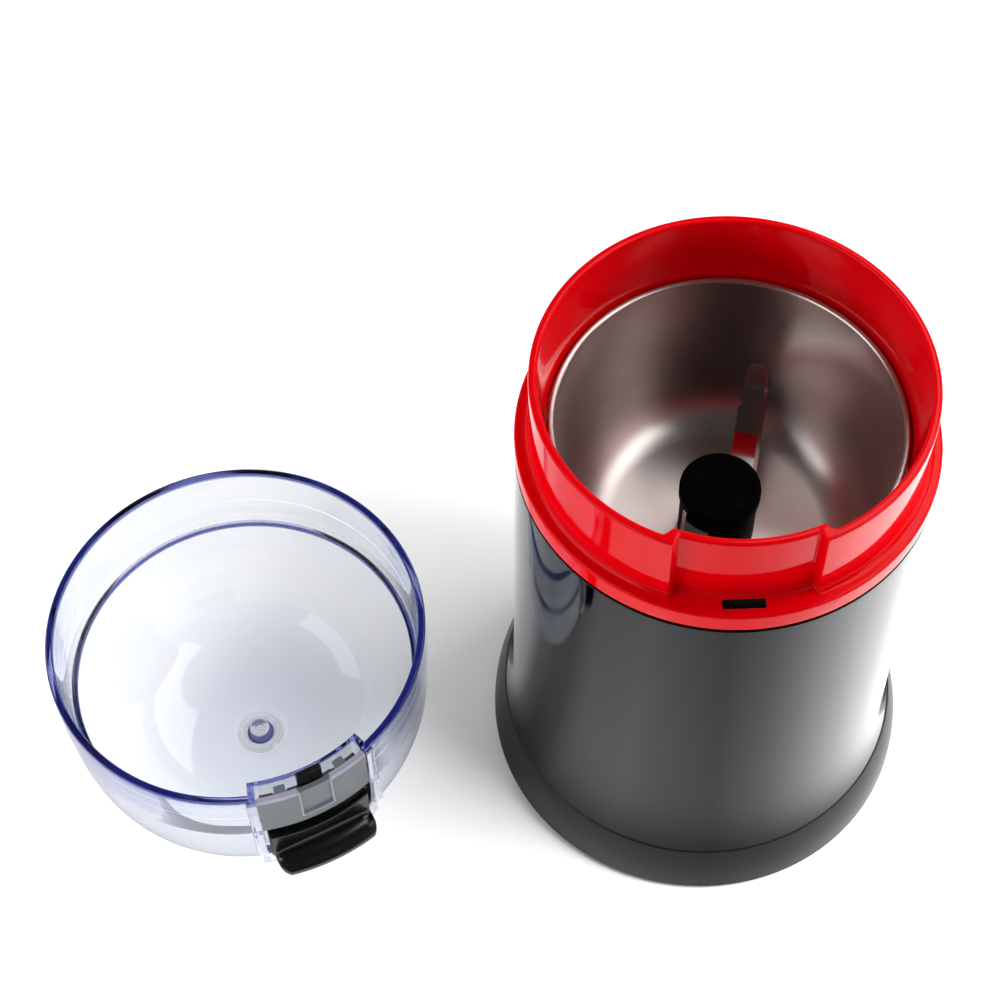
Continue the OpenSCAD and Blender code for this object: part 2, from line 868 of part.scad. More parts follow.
module blade() {
    tip_r = sqrt(pow(bowl_in_r - 1 - blade_gap, 2) - pow(blade_side + 2.9, 2));
    bend_r = tip_r - 3;
    slope = atan2(tip_rise, tip_r - bend_r);
    long = norm([tip_rise, tip_r - bend_r]);
    color([0.85, 0.85, 0.86])
        rotate([0, 0, blade_az - 90])
            difference() {
                union() {
                    for (side = [0, 180])
                        rotate([0, 0, side]) {
                            translate([0, 0, blade_z])
                                linear_extrude(height = blade_t) blade_arm_outline(bend_r);
                            translate([bend_r, -blade_side, blade_z]) rotate([0, -slope, 0])
                                translate([-0.3, 0, 0])
                                    linear_extrude(height = blade_t)
                                        polygon([
                                            [0, -3.2], [long, -2.6], [long + 0.4, 1.2],
                                            [long - 0.8, 2.6], [0, 2.6]
                                        ]);
                        }
                    translate([0, 0, blade_z]) cylinder(r = cap_r - 1.5, h = blade_t);
                }
                translate([0, 0, blade_z - cut])
                    cylinder(r = shaft_r + snug, h = blade_t + 2 * cut);
            }
}

module hub_cap() {
    z0 = blade_z + blade_t;
    color([0.03, 0.03, 0.03])
        difference() {
            rotate_extrude()
                polygon([
                    [0, z0], [cap_r, z0], [cap_r, hub_top - 0.6],
                    [cap_r - 0.6, hub_top], [0, hub_top]
                ]);
            translate([0, 0, z0 - cut]) cylinder(r = shaft_r + snug, h = cap_h - 1.5 + cut);
        }
}

// ---------------------------------------------------------------- switch

module switch_body() {
    pocket_x = button_x + slide;
    pocket_y = button_y + slide;
    pocket_deep = button_sunk + plunger_travel + 1;
    color([0.1, 0.1, 0.11])
        difference() {
            block([-switch_w / 2, -switch_y, switch_top - switch_h],
                [switch_w / 2, -switch_y + switch_d, switch_top]);
            block([-pocket_x, -stud_y - pocket_y, switch_top - pocket_deep],
                [pocket_x, -stud_y + pocket_y, switch_top + cut]);
        }
}

module switch_terminals() {
    color([0.82, 0.68, 0.38])
        for (side = [-1, 1])
            translate([side * tab_x, -stud_y + 1, switch_top - switch_h - tab_h / 2])
                cube([tab_w, tab_t, tab_h], center = true);
}

module switch_bracket() {
    back = -switch_y + switch_d;
    color([0.75, 0.75, 0.77]) {
        block([-switch_w / 2, back, switch_top - switch_h - 2], [switch_w / 2, back + 1.2, carrier_z]);
        block([-switch_w / 2, back, carrier_z - 1.2], [switch_w / 2, back + 8, carrier_z]);
    }
}

module switch_button() {
    color([0.75, 0.1, 0.1])
        block([-button_x, -stud_y - button_y, switch_top - button_sunk],
            [button_x, -stud_y + button_y, button_pin_top]);
}

module switch_plunger() {
    head_low = -plunger_y - plunger_t / 2;
    color([0.6, 0.6, 0.58]) {
        block([-plunger_w / 2, head_low, flange_z], [plunger_w / 2, head_low + plunger_t, plunger_top]);
        block([-flange_half, head_low, flange_z], [flange_half, -stud_y + 1.6, flange_z + flange_h]);
        translate([0, -stud_y, button_pin_top])
            cylinder(r = stud_r, h = flange_z + 0.5 - button_pin_top, $fn = 48);
    }
}

module plunger_spring() {
    color([0.75, 0.75, 0.77])
        translate([0, -stud_y, 0]) ring(stud_r + 0.75, stud_r + 0.2, carrier_top, flange_z);
}

// ---------------------------------------------------------------- wiring

module terminal_block() {
    color([0.88, 0.87, 0.82])
        difference() {
            block([-terminal_w / 2, terminal_y - terminal_d / 2, plate_top],
                [terminal_w / 2, terminal_y + terminal_d / 2, plate_top + terminal_h]);
            for (i = [-1 : 1])
                translate([i * terminal_w / 4, terminal_y, plate_top + terminal_h / 3])
                    cylinder(r = terminal_screw_r, h = terminal_h, $fn = 32);
        }
}

module capacitor() {
    color([0.85, 0.72, 0.2])
        block([-capacitor_w / 2, capacitor_y - capacitor_t / 2, plate_top],
            [capacitor_w / 2, capacitor_y + capacitor_t / 2, plate_top + capacitor_h]);
}

module thermal_cutout() {
    coil_low = stack_mid - (stack_h + 0.6) / 2 - coil_over + 0.3;
    color([0.82, 0.82, 0.8])
        block([coil_x + 0.4, -5, coil_low - 4], [coil_x + coil_t - 0.4, 5, coil_low]);
}

// Point on a smooth curve through four neighbouring points
function spline_point(a, b, c, d, t) =
    0.5 * (2 * b + (c - a) * t + (2 * a - 5 * b + 4 * c - d) * t * t
        + (3 * b - a - 3 * c + d) * t * t * t);

// Smooth route through a list of points, with a number of steps for each stretch
function smooth_route(p, steps) = concat(
    [for (i = [0 : len(p) - 2], s = [0 : steps - 1])
        spline_point(p[max(i - 1, 0)], p[i], p[i + 1], p[min(i + 2, len(p) - 1)], s / steps)],
    [p[len(p) - 1]]
);

function unit(v) = v / norm(v);

// Tube of radius r along a list of points; side is never parallel to the route
module tube(p, r, side) {
    sides = 8;
    n = len(p);
    rings = [for (i = [0 : n - 1])
        let (
            along = unit(p[min(i + 1, n - 1)] - p[max(i - 1, 0)]),
            u = unit(cross(along, side)),
            v = cross(along, u)
        )
        [for (k = [0 : sides - 1]) p[i] + r * (cos(360 * k / sides) * u + sin(360 * k / sides) * v)]
    ];
    points = [for (one = rings, q = one) q];
    walls = [for (i = [0 : n - 2], k = [0 : sides - 1])
        [i * sides + k, i * sides + (k + 1) % sides,
            (i + 1) * sides + (k + 1) % sides, (i + 1) * sides + k]];
    ends = [
        [for (k = [sides - 1 : -1 : 0]) k],
        [for (k = [0 : sides - 1]) (n - 1) * sides + k]
    ];
    polyhedron(points = points, faces = concat(walls, ends));
}

lead_r = 1;
lead_gap = 0.25;
tab_z = switch_top - switch_h - tab_h - lead_gap;
terminal_z = plate_top + terminal_h / 2;
coil_end_z = stack_z - 3.5;
coil_mid_x = coil_x + coil_t / 2;
coil_face_y = pole_w / 2 + 0.3 + coil_wrap;

// Point at an angle from the front, a distance inside the ring of posts, and a height
function beside(az, inside, z) =
    [(post_ring_r - inside) * sin(az), -(post_ring_r - inside) * cos(az), z];

// Straight stretch of a lead where it leaves a terminal, and where it arrives at one
function leaving(p, out) = [p, p + 2 * out, p + 4 * out];
function arriving(p, out) = [p + 4 * out, p + 2 * out, p];

// Supply to the switch, round the motor's left side
supply_route = concat(
    leaving([-terminal_w / 2 - lead_gap, terminal_y, terminal_z], [-1, 0, 0]),
    [
        beside(-134, 10, fan_z - 6.5), beside(-111, 5, fan_z), beside(-93, 2.5, lower_z + 3),
        beside(-72, 2.5, stack_z - 9), beside(-47, 8, stack_z - 3), beside(-19, 4.5, stack_z + 4)
    ],
    arriving([-tab_x, -stud_y + 1, tab_z], [0, 0, -1])
);
// Switch to the right field coil
switched_route = concat(
    leaving([tab_x, -stud_y + 1, tab_z], [0, 0, -1]),
    [beside(25, 3, stack_z + 4), beside(35, 6, stack_z - 3)],
    arriving([coil_mid_x, -coil_face_y - lead_gap, coil_end_z], [0, -1, 0])
);
// Terminal block to the rear brush
rear_route = concat(
    leaving([terminal_w / 2 + lead_gap, terminal_y, terminal_z], [1, 0, 0]),
    [[14, terminal_y + 1, lower_z - 3], [8, holder_out + 6.5, brush_z - 2]],
    arriving([0, holder_out + lead_gap, brush_z], [0, 1, 0])
);
// Front brush to the left field coil
front_route = concat(
    leaving([0, -holder_out - lead_gap, brush_z], [0, -1, 0]),
    [[-10, -holder_out - 1.5, brush_z + 3], beside(-41, 13, coil_end_z - 1)],
    arriving([-coil_mid_x, -coil_face_y - lead_gap, coil_end_z], [0, -1, 0])
);

module internal_leads() {
    color([0.15, 0.25, 0.6]) {
        tube(smooth_route(supply_route, 4), lead_r, [0.9, 0.1, 0.42]);
        tube(smooth_route(switched_route, 4), lead_r, [0.9, 0.1, 0.42]);
        tube(smooth_route(rear_route, 4), lead_r, [0.3, 0.2, 0.93]);
        tube(smooth_route(front_route, 4), lead_r, [0.1, 0.2, 0.97]);
    }
}

// ---------------------------------------------------------------- lid

// Points of a rounded dome from its middle out to its edge
function dome(r, z_edge, z_low, power, steps) = [
    for (i = [0 : steps])
        let (a = 84 * (1 - i / steps))
        [r * pow(cos(a), 2 / power), z_edge - (z_edge - z_low) * pow(sin(a), 2 / power)]
];

module lid_section() {
    steps = 12;
    outside = dome(dome_r, dome_h, 0, outer_power, steps);
    inside = dome(shelf_r, shelf_z, lid_top_t, inner_power, steps);
    polygon(concat(
        [[0, 0], [outside[0][0] * 0.9, 0]],
        outside,
        [
            [dome_r, band_z],
            [lid_r, band_z],
            [lid_r, lid_h - 0.5],
            [lid_r - 0.5, lid_h],
            [lid_in_r + 0.5, lid_h],
            [lid_in_r, lid_h - 0.5],
            [lid_in_r, shelf_z]
        ],
        [for (i = [steps : -1 : 0]) inside[i]],
        [
            [nub_r + 2.6, lid_top_t],
            [nub_r + 1.8, lid_top_t - 0.4],
            [nub_r, lid_top_t - 0.4],
            [nub_r, lid_top_t + nub_h],
            [0, lid_top_t + nub_h]
        ]
    ));
}

// Section of the latch's cheeks, which slope in at their lower ends
module cheek_section() {
    polygon([
        [lid_in_r, cheek_z], [lid_r - 1, cheek_z], [cheek_r, cheek_z + 3],
        [cheek_r, lid_h - 1.2], [cheek_r - 0.6, lid_h - 0.6], [lid_in_r, lid_h - 0.6]
    ]);
}

module lid_shell() {
    color([0.8, 0.84, 0.92, 0.35])
        at_lid()
            difference() {
                union() {
                    rotate_extrude() lid_section();
                    ring_sector(lid_r - 0.2, channel_r, -channel_half, channel_half, channel_z, lid_h);
                    intersection() {
                        rotate_extrude() cheek_section();
                        sector(-cheek_half, cheek_half, cheek_r, cheek_z, lid_h);
                    }
                }
                difference() {
                    sector(-cavity_half, cavity_half, cheek_r + 2, cavity_z, lid_h + cut);
                    translate([0, 0, cavity_z - cut])
                        cylinder(r = channel_r + channel_wall, h = lid_h);
                }
            }
}

module latch_cover() {
    color([0.72, 0.76, 0.78, 0.5])
        at_lid() {
            difference() {
                ring_sector(cover_r, cover_r - cover_t, -cover_half, cover_half, cover_z, lid_h);
                ring_sector(cover_r + cut, cover_r - window_deep, -4.75, 4.75,
                    lid_h - window_h, lid_h - 1.6);
            }
            for (side = [-1, 1])
                rotate([0, 0, side * coil_spring_az])
                    ring_sector(cover_r - cover_t + 0.1, slab_in_r, -lug_half, lug_half,
                        lug_z, lug_z + lug_t);
        }
}

// Section of the button's outer face, with the thumb lip at its foot
module button_section() {
    lip_top = face_z + lip_t;
    polygon(concat(
        [
            [slab_in_r + 1, face_z],
            [lip_r - 1, face_z],
            [lip_r, face_z + 1],
            [lip_r, lip_top - 0.6]
        ],
        [for (a = [0 : 15 : 90])
            [face_r + lip_out * (1 - sin(a)), lip_top + lip_out * (1 - cos(a))]],
        [
            [face_r, face_top - 0.4],
            [face_r - 0.4, face_top],
            [slab_in_r + 1, face_top]
        ]
    ));
}

module lid_button() {
    corner_y = -lip_r + lip_corner;
    notch_side = lug_half + 0.6;
    color([0.03, 0.03, 0.03])
        at_lid() {
            difference() {
                ring_sector(slab_r, slab_in_r, -slab_half, slab_half, slab_z, slab_top);
                for (side = [-1, 1])
                    rotate([0, 0, side * coil_spring_az])
                        sector(-notch_side, notch_side, slab_r + 1, spring_seat, slab_top + cut);
            }
            ring_sector(prong_out_r, prong_in_r, -8, 8, slab_top - 2, slab_top - 1);
            intersection() {
                ring(prong_out_r, prong_in_r, slab_top - 2, lid_h + prong_proud);
                block([-prong_w / 2, -prong_out_r - cut, slab_top - 2],
                    [prong_w / 2, -prong_in_r + 2, lid_h + prong_proud]);
            }
            intersection() {
                rotate_extrude() button_section();
                sector(-face_half, face_half, lip_r + 2, face_z, face_top);
                translate([0, 0, face_z])
                    linear_extrude(height = face_top - face_z)
                        union() {
                            translate([-lip_w / 2, corner_y]) square([lip_w, lip_r]);
                            translate([-lip_w / 2 + lip_corner, -lip_r - cut])
                                square([lip_w - 2 * lip_corner, lip_r]);
                            for (side = [-1, 1])
                                translate([side * (lip_w / 2 - lip_corner), corner_y])
                                    circle(r = lip_corner, $fn = 48);
                        }
            }
        }
}

module button_springs() {
    color([0.75, 0.75, 0.77])
        at_lid()
            for (side = [-1, 1])
                rotate([0, 0, side * coil_spring_az])
                    translate([0, -coil_spring_y, 0])
                        ring(coil_spring_r, coil_spring_r - 0.4, spring_seat, lug_z);
}

base_plate();
base_ring();
rubber_feet();
base_screws();
cord_inlet();
body_sleeve();
collar();
bowl_gasket();
bowl();
bowl_carrier();
shaft_seal();
rubber_mounts();
motor_screws();
upper_bracket();
upper_bush();
stator_core();
field_coils();
stator_bolts();
lower_bracket();
lower_bush();
brush_holders();
brushes();
brush_springs();
motor_shaft();
armature_core();
armature_windings();
commutator();
cooling_fan();
blade_hub();
blade();
hub_cap();
switch_body();
switch_terminals();
switch_bracket();
switch_button();
switch_plunger();
plunger_spring();
terminal_block();
capacitor();
thermal_cutout();
internal_leads();
lid_shell();
latch_cover();
lid_button();
button_springs();
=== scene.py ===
# %% [markdown]
# # A small electric spice grinder
# The grinder is a round gunmetal body with a red collar, a steel bowl and a two-armed blade. Its clear lid
# lies upside down beside it. The shapes that carry the joints come from CAD, and this script dresses them: it
# makes the surfaces that are seen, gives every node a finish, and sets up the floor, the light and the
# camera. The frame is loaded first, and each new piece is made in the same frame, so nothing has to be fitted
# later.

# %% Load the frame
import json
import math

import bmesh
import bpy
from mathutils import Matrix, Vector

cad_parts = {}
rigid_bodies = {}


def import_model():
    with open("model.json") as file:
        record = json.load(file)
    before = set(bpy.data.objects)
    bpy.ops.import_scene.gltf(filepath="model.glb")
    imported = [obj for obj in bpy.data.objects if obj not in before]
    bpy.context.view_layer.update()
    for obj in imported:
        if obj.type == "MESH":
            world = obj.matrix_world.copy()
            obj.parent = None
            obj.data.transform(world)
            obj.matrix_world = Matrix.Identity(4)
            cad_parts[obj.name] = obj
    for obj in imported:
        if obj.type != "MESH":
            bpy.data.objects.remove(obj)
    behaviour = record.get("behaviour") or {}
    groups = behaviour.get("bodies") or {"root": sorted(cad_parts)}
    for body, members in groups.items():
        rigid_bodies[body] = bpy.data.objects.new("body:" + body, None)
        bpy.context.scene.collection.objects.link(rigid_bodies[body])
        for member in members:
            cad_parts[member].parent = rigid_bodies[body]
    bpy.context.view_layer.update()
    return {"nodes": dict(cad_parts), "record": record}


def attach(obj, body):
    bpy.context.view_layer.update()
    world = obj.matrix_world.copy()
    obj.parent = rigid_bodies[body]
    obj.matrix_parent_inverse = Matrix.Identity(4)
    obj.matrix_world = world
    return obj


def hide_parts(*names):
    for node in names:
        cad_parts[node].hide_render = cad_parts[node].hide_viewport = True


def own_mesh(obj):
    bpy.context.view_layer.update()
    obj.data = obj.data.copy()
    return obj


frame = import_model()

nodes = frame["nodes"]
MM = 0.001  # a new piece is drawn in millimetres, and its mesh is in metres

# %% [markdown]
# ## Helpers for turned and swept shapes
# Almost every part of a grinder is turned: a section goes round an axis. Blender has a Screw modifier for
# that, but writing the rings out gives exact control of the poles and of pieces whose section changes on the
# way round. A section is a list of corners, each with the radius that rounds it, because a moulded edge is
# never sharp.

# %% Rounded sections
def rounded(corners, steps=4):
    """Points of a closed outline whose corners (x, y, radius) are rounded off."""
    outline = []
    for i, (x, y, radius) in enumerate(corners):
        here = Vector((x, y))
        if radius == 0:
            outline.append((x, y))
            continue
        before = Vector(corners[i - 1][:2]) - here
        after = Vector(corners[(i + 1) % len(corners)][:2]) - here
        back = min(radius / math.tan(before.angle(after) / 2), 0.49 * before.length, 0.49 * after.length)
        start, end = here + before.normalized() * back, here + after.normalized() * back
        for k in range(steps + 1):
            t = k / steps
            outline.append(tuple(start * (1 - t) ** 2 + here * 2 * t * (1 - t) + end * t * t))
    return outline


# %% Meshes from points
def shown(name, data):
    """A new object in the scene."""
    made = bpy.data.objects.new(name, data)
    bpy.context.scene.collection.objects.link(made)
    return made


def as_piece(name, points, faces):
    """A closed mesh object from points in millimetres, with merged seams and outward faces."""
    mesh = bpy.data.meshes.new(name)
    mesh.from_pydata([[c * MM for c in p] for p in points], [], faces)
    shape = bmesh.new()
    shape.from_mesh(mesh)
    bmesh.ops.remove_doubles(shape, verts=shape.verts, dist=0.002 * MM)
    bmesh.ops.recalc_face_normals(shape, faces=shape.faces)
    shape.to_mesh(mesh)
    shape.free()
    return shown(name, mesh)


# %% Turned and swept shapes
def turned(name, section, around=192):
    """The section (radius, height) turned round the Z axis. Points on the axis become poles."""
    on_axis = 1e-6
    points, rows, faces = [], [], []
    for r, z in section:
        if r < on_axis:
            rows.append([len(points)] * around)
            points.append((0, 0, z))
            continue
        rows.append(list(range(len(points), len(points) + around)))
        turn = 2 * math.pi / around
        points += [(r * math.cos(turn * k), r * math.sin(turn * k), z) for k in range(around)]
    closed = section[0][0] > on_axis or section[-1][0] > on_axis
    for i in range(len(rows) if closed else len(rows) - 1):
        low, high = rows[i], rows[(i + 1) % len(rows)]
        for k in range(around):
            m = (k + 1) % around
            face = tuple(dict.fromkeys((low[k], low[m], high[m], high[k])))
            if len(face) > 2:
                faces.append(face)
    return as_piece(name, points, faces)


def swept(name, sections, closed=False):
    """A skin over sections of equally many points, capped at its ends unless it closes on itself."""
    n, rows = len(sections[0]), len(sections)
    points = [p for section in sections for p in section]
    faces = []
    for i in range(rows if closed else rows - 1):
        j = (i + 1) % rows
        faces += [(i * n + k, i * n + (k + 1) % n, j * n + (k + 1) % n, j * n + k) for k in range(n)]
    if not closed:
        faces += [tuple(range(n)), tuple(range((rows - 1) * n, rows * n))]
    return as_piece(name, points, faces)


# %% Places round an axis
def polar(az, r, z):
    """A point at an angle in degrees, counted from -Y towards +X."""
    return r * math.sin(math.radians(az)), -r * math.cos(math.radians(az)), z


def arc(name, section, half, steps=24, middle=0):
    """A section that follows a short stretch of a ring, half degrees to each side of the middle."""
    angles = [middle - half + 2 * half * k / steps for k in range(steps + 1)]
    return swept(name, [[polar(az, r, z) for r, z in section] for az in angles])


def moved(piece, place=(0, 0, 0), turn=0, axis="Z"):
    """Turns a piece's mesh about an axis, in degrees, then moves it, in millimetres. Its object stays put."""
    shift = Matrix.Translation([c * MM for c in place])
    piece.data.transform(shift @ Matrix.Rotation(math.radians(turn), 4, axis))
    return piece


def span(start, end, steps):
    """Evenly spaced numbers from start to end, both included."""
    return [start + (end - start) * k / steps for k in range(steps + 1)]


# %% [markdown]
# ## Modifiers that are applied
# A modifier is the easy way to round edges, cut holes and even out the shading. The finished piece should be
# a plain mesh, so each modifier is added, evaluated and taken off again. Weighted normals keep large faces
# flat beside small round ones, which is what makes a glossy moulding reflect cleanly.

# %% Apply, cut, join and shade
def applied(piece):
    """Turns the evaluated piece into a plain mesh and takes its modifiers off."""
    graph = bpy.context.evaluated_depsgraph_get()
    mesh = bpy.data.meshes.new_from_object(
        piece.evaluated_get(graph), preserve_all_data_layers=True, depsgraph=graph)
    piece.modifiers.clear()
    piece.data = mesh
    return piece


def carved(piece, tool, operation="DIFFERENCE"):
    """Cuts the tool out of the piece, or joins it on, and throws the tool away."""
    step = piece.modifiers.new(operation.title(), "BOOLEAN")
    step.operation, step.object, step.solver = operation, tool, "EXACT"
    applied(piece)
    bpy.data.objects.remove(tool)
    return piece


def shaded(piece, angle=35):
    """Smooth shading that stays crisp at edges sharper than the angle."""
    piece.data.shade_smooth()
    piece.data.set_sharp_from_angle(angle=math.radians(angle))
    step = piece.modifiers.new("Weighted", "WEIGHTED_NORMAL")
    step.keep_sharp = True
    return applied(piece)


def eased(piece, width, angle=40, segments=3):
    """Rounds every edge sharper than the angle."""
    step = piece.modifiers.new("Bevel", "BEVEL")
    step.width, step.segments, step.limit_method = width * MM, segments, "ANGLE"
    step.angle_limit, step.harden_normals = math.radians(angle), False
    return applied(piece)


# %% Marked faces and blocks
def edged(piece, wanted):
    """Marks the faces whose centre, in millimetres, passes the test. They take the piece's second finish."""
    for face in piece.data.polygons:
        face.material_index = 1 if wanted(face.center / MM) else 0
    return piece


def box_piece(name, low, high, radius=0.3):
    """A moulded block between two corners, its edges rounded."""
    corners = [(x, y, z) for x in (low[0], high[0]) for y in (low[1], high[1]) for z in (low[2], high[2])]
    faces = [(0, 1, 3, 2), (4, 6, 7, 5), (0, 4, 5, 1), (2, 3, 7, 6), (0, 2, 6, 4), (1, 5, 7, 3)]
    piece = as_piece(name, corners, faces)
    return eased(piece, radius) if radius else piece


# %% [markdown]
# ## Geometry Nodes helpers
# Springs, feet, screws, fan vanes and the cover's teeth repeat or follow a path, so a node tree makes them:
# the sizes are named inputs, and a change of one number rebuilds the lot. The tree ends in Realize Instances
# and Set Material, and the result is turned into a plain mesh.

# %% Node trees for shapes
def shape_tree(name, inputs):
    """An empty geometry tree with named inputs. Returns the tree, its input sockets and its output node."""
    tree = bpy.data.node_groups.new(name, "GeometryNodeTree")
    tree.interface.new_socket("Geometry", in_out="INPUT", socket_type="NodeSocketGeometry")
    for label, kind in inputs:
        tree.interface.new_socket(label, in_out="INPUT", socket_type="NodeSocket" + kind)
    tree.interface.new_socket("Geometry", in_out="OUTPUT", socket_type="NodeSocketGeometry")
    return tree, tree.nodes.new("NodeGroupInput").outputs, tree.nodes.new("NodeGroupOutput")


def node(tree, kind, inputs=None, **settings):
    """Adds a node, sets its properties, then links or fills its inputs by name or number."""
    made = tree.nodes.new(kind)
    for key, value in settings.items():
        setattr(made, key, value)
    for key, value in (inputs or {}).items():
        if isinstance(value, bpy.types.NodeSocket):
            tree.links.new(value, made.inputs[key])
        else:
            made.inputs[key].default_value = value
    return made


# %% Short names for common nodes
def calc(tree, operation, value, *others):
    """A Math node. More than two values make one node after another, as in a sum of several terms."""
    for other in others or (0.0,):
        value = node(tree, "ShaderNodeMath", {0: value, 1: other}, operation=operation).outputs[0]
    return value


def from_axis(tree, at):
    """How far a place is from the upright axis, from its separate x, y and z."""
    squares = [calc(tree, "MULTIPLY", at[k], at[k]) for k in (0, 1)]
    return calc(tree, "SQRT", calc(tree, "ADD", *squares))


def place_xyz(tree, kind="Object"):
    """The place that is being shaded, as separate x, y and z."""
    return node(tree, "ShaderNodeSeparateXYZ", {0: node(tree, "ShaderNodeTexCoord").outputs[kind]}).outputs


def mix(tree, factor, a, b):
    """A colour between a and b."""
    return node(tree, "ShaderNodeMix", {0: factor, 6: a, 7: b}, data_type="RGBA").outputs[2]


# %% Run a tree and close a tree
def grown(name, tree, values):
    """Runs a geometry tree with its named values set and keeps the result as a plain mesh object."""
    piece = as_piece(name, [(0, 0, 0)], [])
    step = piece.modifiers.new(tree.name, "NODES")
    step.node_group = tree
    for item in tree.interface.items_tree:
        if item.in_out == "INPUT" and item.name in values:
            step[item.identifier] = values[item.name]
    return applied(piece)


def ended(tree, geometry, material, out):
    """Closes a tree: real geometry instead of instances, then the finish."""
    real = node(tree, "GeometryNodeRealizeInstances", {"Geometry": geometry})
    smooth = node(tree, "GeometryNodeSetShadeSmooth", {"Geometry": real.outputs[0]})
    done = node(tree, "GeometryNodeSetMaterial", {"Geometry": smooth.outputs[0], "Material": material})
    tree.links.new(done.outputs[0], out.inputs[0])


# %% [markdown]
# ## Shared surface effects
# Real plastic and metal are never one flat colour: the colour drifts a little, the gloss varies with
# handling, and edges rub paler. One node group gives all three from sizes and colours, so each finish sets
# its own values. A second group makes the fine circular lines of turned or polished metal.

# %% Group for drift, grain and rubbed edges
def group(name, inputs, outputs):
    """A shader node group. Returns it with what it is given and what it sends back."""
    tree = bpy.data.node_groups.new(name, "ShaderNodeTree")
    for label, kind, value in inputs:
        socket = tree.interface.new_socket(label, in_out="INPUT", socket_type="NodeSocket" + kind)
        socket.default_value = value
    for label, kind in outputs:
        tree.interface.new_socket(label, in_out="OUTPUT", socket_type="NodeSocket" + kind)
    return tree, tree.nodes.new("NodeGroupInput").outputs, tree.nodes.new("NodeGroupOutput").inputs


surface, given, sent = group(
    "Grain and wear",
    [
        ("Colour", "Color", (0.5, 0.5, 0.5, 1)), ("Second colour", "Color", (0.5, 0.5, 0.5, 1)),
        ("Rubbed colour", "Color", (0.6, 0.6, 0.6, 1)), ("Rub", "Float", 0.2),
        ("Drift scale", "Float", 40.0), ("Grain scale", "Float", 900.0),
        ("Roughness", "Float", 0.4), ("Roughness spread", "Float", 0.05),
    ],
    [("Colour", "Color"), ("Roughness", "Float"), ("Height", "Float")],
)
place = node(surface, "ShaderNodeTexCoord").outputs["Object"]
drift = node(surface, "ShaderNodeTexNoise", {"Vector": place, "Scale": given["Drift scale"], "Detail": 4.0})
grain = node(surface, "ShaderNodeTexNoise", {"Vector": place, "Scale": given["Grain scale"], "Detail": 2.0})
edge = node(surface, "ShaderNodeMapRange", {
    "Value": node(surface, "ShaderNodeNewGeometry").outputs["Pointiness"], "From Min": 0.53, "From Max": 0.62,
})
rubbed = calc(surface, "MULTIPLY", edge.outputs[0], drift.outputs["Fac"], given["Rub"])
drifted = mix(surface, drift.outputs["Fac"], given["Colour"], given["Second colour"])
surface.links.new(mix(surface, rubbed, drifted, given["Rubbed colour"]), sent["Colour"])
off_middle = calc(surface, "SUBTRACT", drift.outputs["Fac"], 0.5)
swing = calc(surface, "MULTIPLY", off_middle, given["Roughness spread"])
duller = calc(surface, "ADD", swing, calc(surface, "MULTIPLY", rubbed, 0.3))
gloss = calc(surface, "ADD", given["Roughness"], duller)
surface.links.new(gloss, sent["Roughness"])
surface.links.new(grain.outputs["Fac"], sent["Height"])

# %% Group for turned and polished lines
lathe, asked, told = group(
    "Turned lines",
    [("Line scale", "Float", 2500.0), ("Length", "Float", 6.0)],
    [("Lines", "Float")],
)
spot = place_xyz(lathe)
around = calc(lathe, "ARCTAN2", spot[0], spot[1])
unrolled = node(lathe, "ShaderNodeCombineXYZ", {
    0: calc(lathe, "MULTIPLY", from_axis(lathe, spot), asked["Line scale"]),
    1: calc(lathe, "MULTIPLY", calc(lathe, "ABSOLUTE", around), asked["Length"]),
    2: calc(lathe, "MULTIPLY", spot[2], asked["Line scale"]),
}).outputs[0]
streaks = node(lathe, "ShaderNodeTexNoise", {"Vector": unrolled, "Scale": 1.0, "Detail": 3.0})
lathe.links.new(streaks.outputs["Fac"], told["Lines"])

# %% [markdown]
# ## Finishes
# Each finish is a Principled shader fed by the groups. Numbers that are the same all over, such as the
# specular level or the index of refraction, sit on the shader's own sockets. Metals are full metallic with
# their real colour; plastics are plain dielectrics, and the gloss comes from low roughness, not from a
# lighter colour.

# %% A finish from the grain group
finishes = {}


def finish(slot, colour, second=None, rubbed=None, rough=0.4, spread=0.1, rub=0.2, drift=40, grain=900,
           relief=0.02, lines=0, line_scale=2500, pattern=None, **shader):
    """A node material. Lines mixes turned lines into roughness and relief, pattern adds a colour pattern."""
    material = bpy.data.materials.new(slot)
    material.use_nodes = True
    tree = material.node_tree
    tree.nodes.clear()
    look = tree.nodes.new("ShaderNodeBsdfPrincipled")
    for key, value in shader.items():
        look.inputs[key.replace("_", " ")].default_value = value
    paler = [min(1, c * 1.6 + 0.02) for c in colour]
    worn = node(tree, "ShaderNodeGroup", {
        "Colour": (*colour, 1), "Second colour": (*(second or colour), 1),
        "Rubbed colour": (*(rubbed or paler), 1), "Rub": rub, "Drift scale": drift, "Grain scale": grain,
        "Roughness": rough, "Roughness spread": spread,
    }, node_tree=surface).outputs
    colours, height, gloss = worn["Colour"], worn["Height"], worn["Roughness"]
    if lines:
        turning = node(tree, "ShaderNodeGroup", {"Line scale": line_scale}, node_tree=lathe).outputs[0]
        height = calc(tree, "ADD", height, calc(tree, "MULTIPLY", turning, lines))
        swing = calc(tree, "MULTIPLY", calc(tree, "SUBTRACT", turning, 0.5), 0.1)
        gloss = calc(tree, "ADD", gloss, swing)
    if pattern:
        colours, height = pattern(tree, colours, height)
    bump = node(tree, "ShaderNodeBump", {"Height": height, "Distance": 0.0002, "Strength": relief})
    for socket, target in ((colours, "Base Color"), (gloss, "Roughness"), (bump.outputs[0], "Normal")):
        tree.links.new(socket, look.inputs[target])
    out = node(tree, "ShaderNodeOutputMaterial", {"Surface": look.outputs[0]})
    finishes[slot] = material
    return tree, look, out


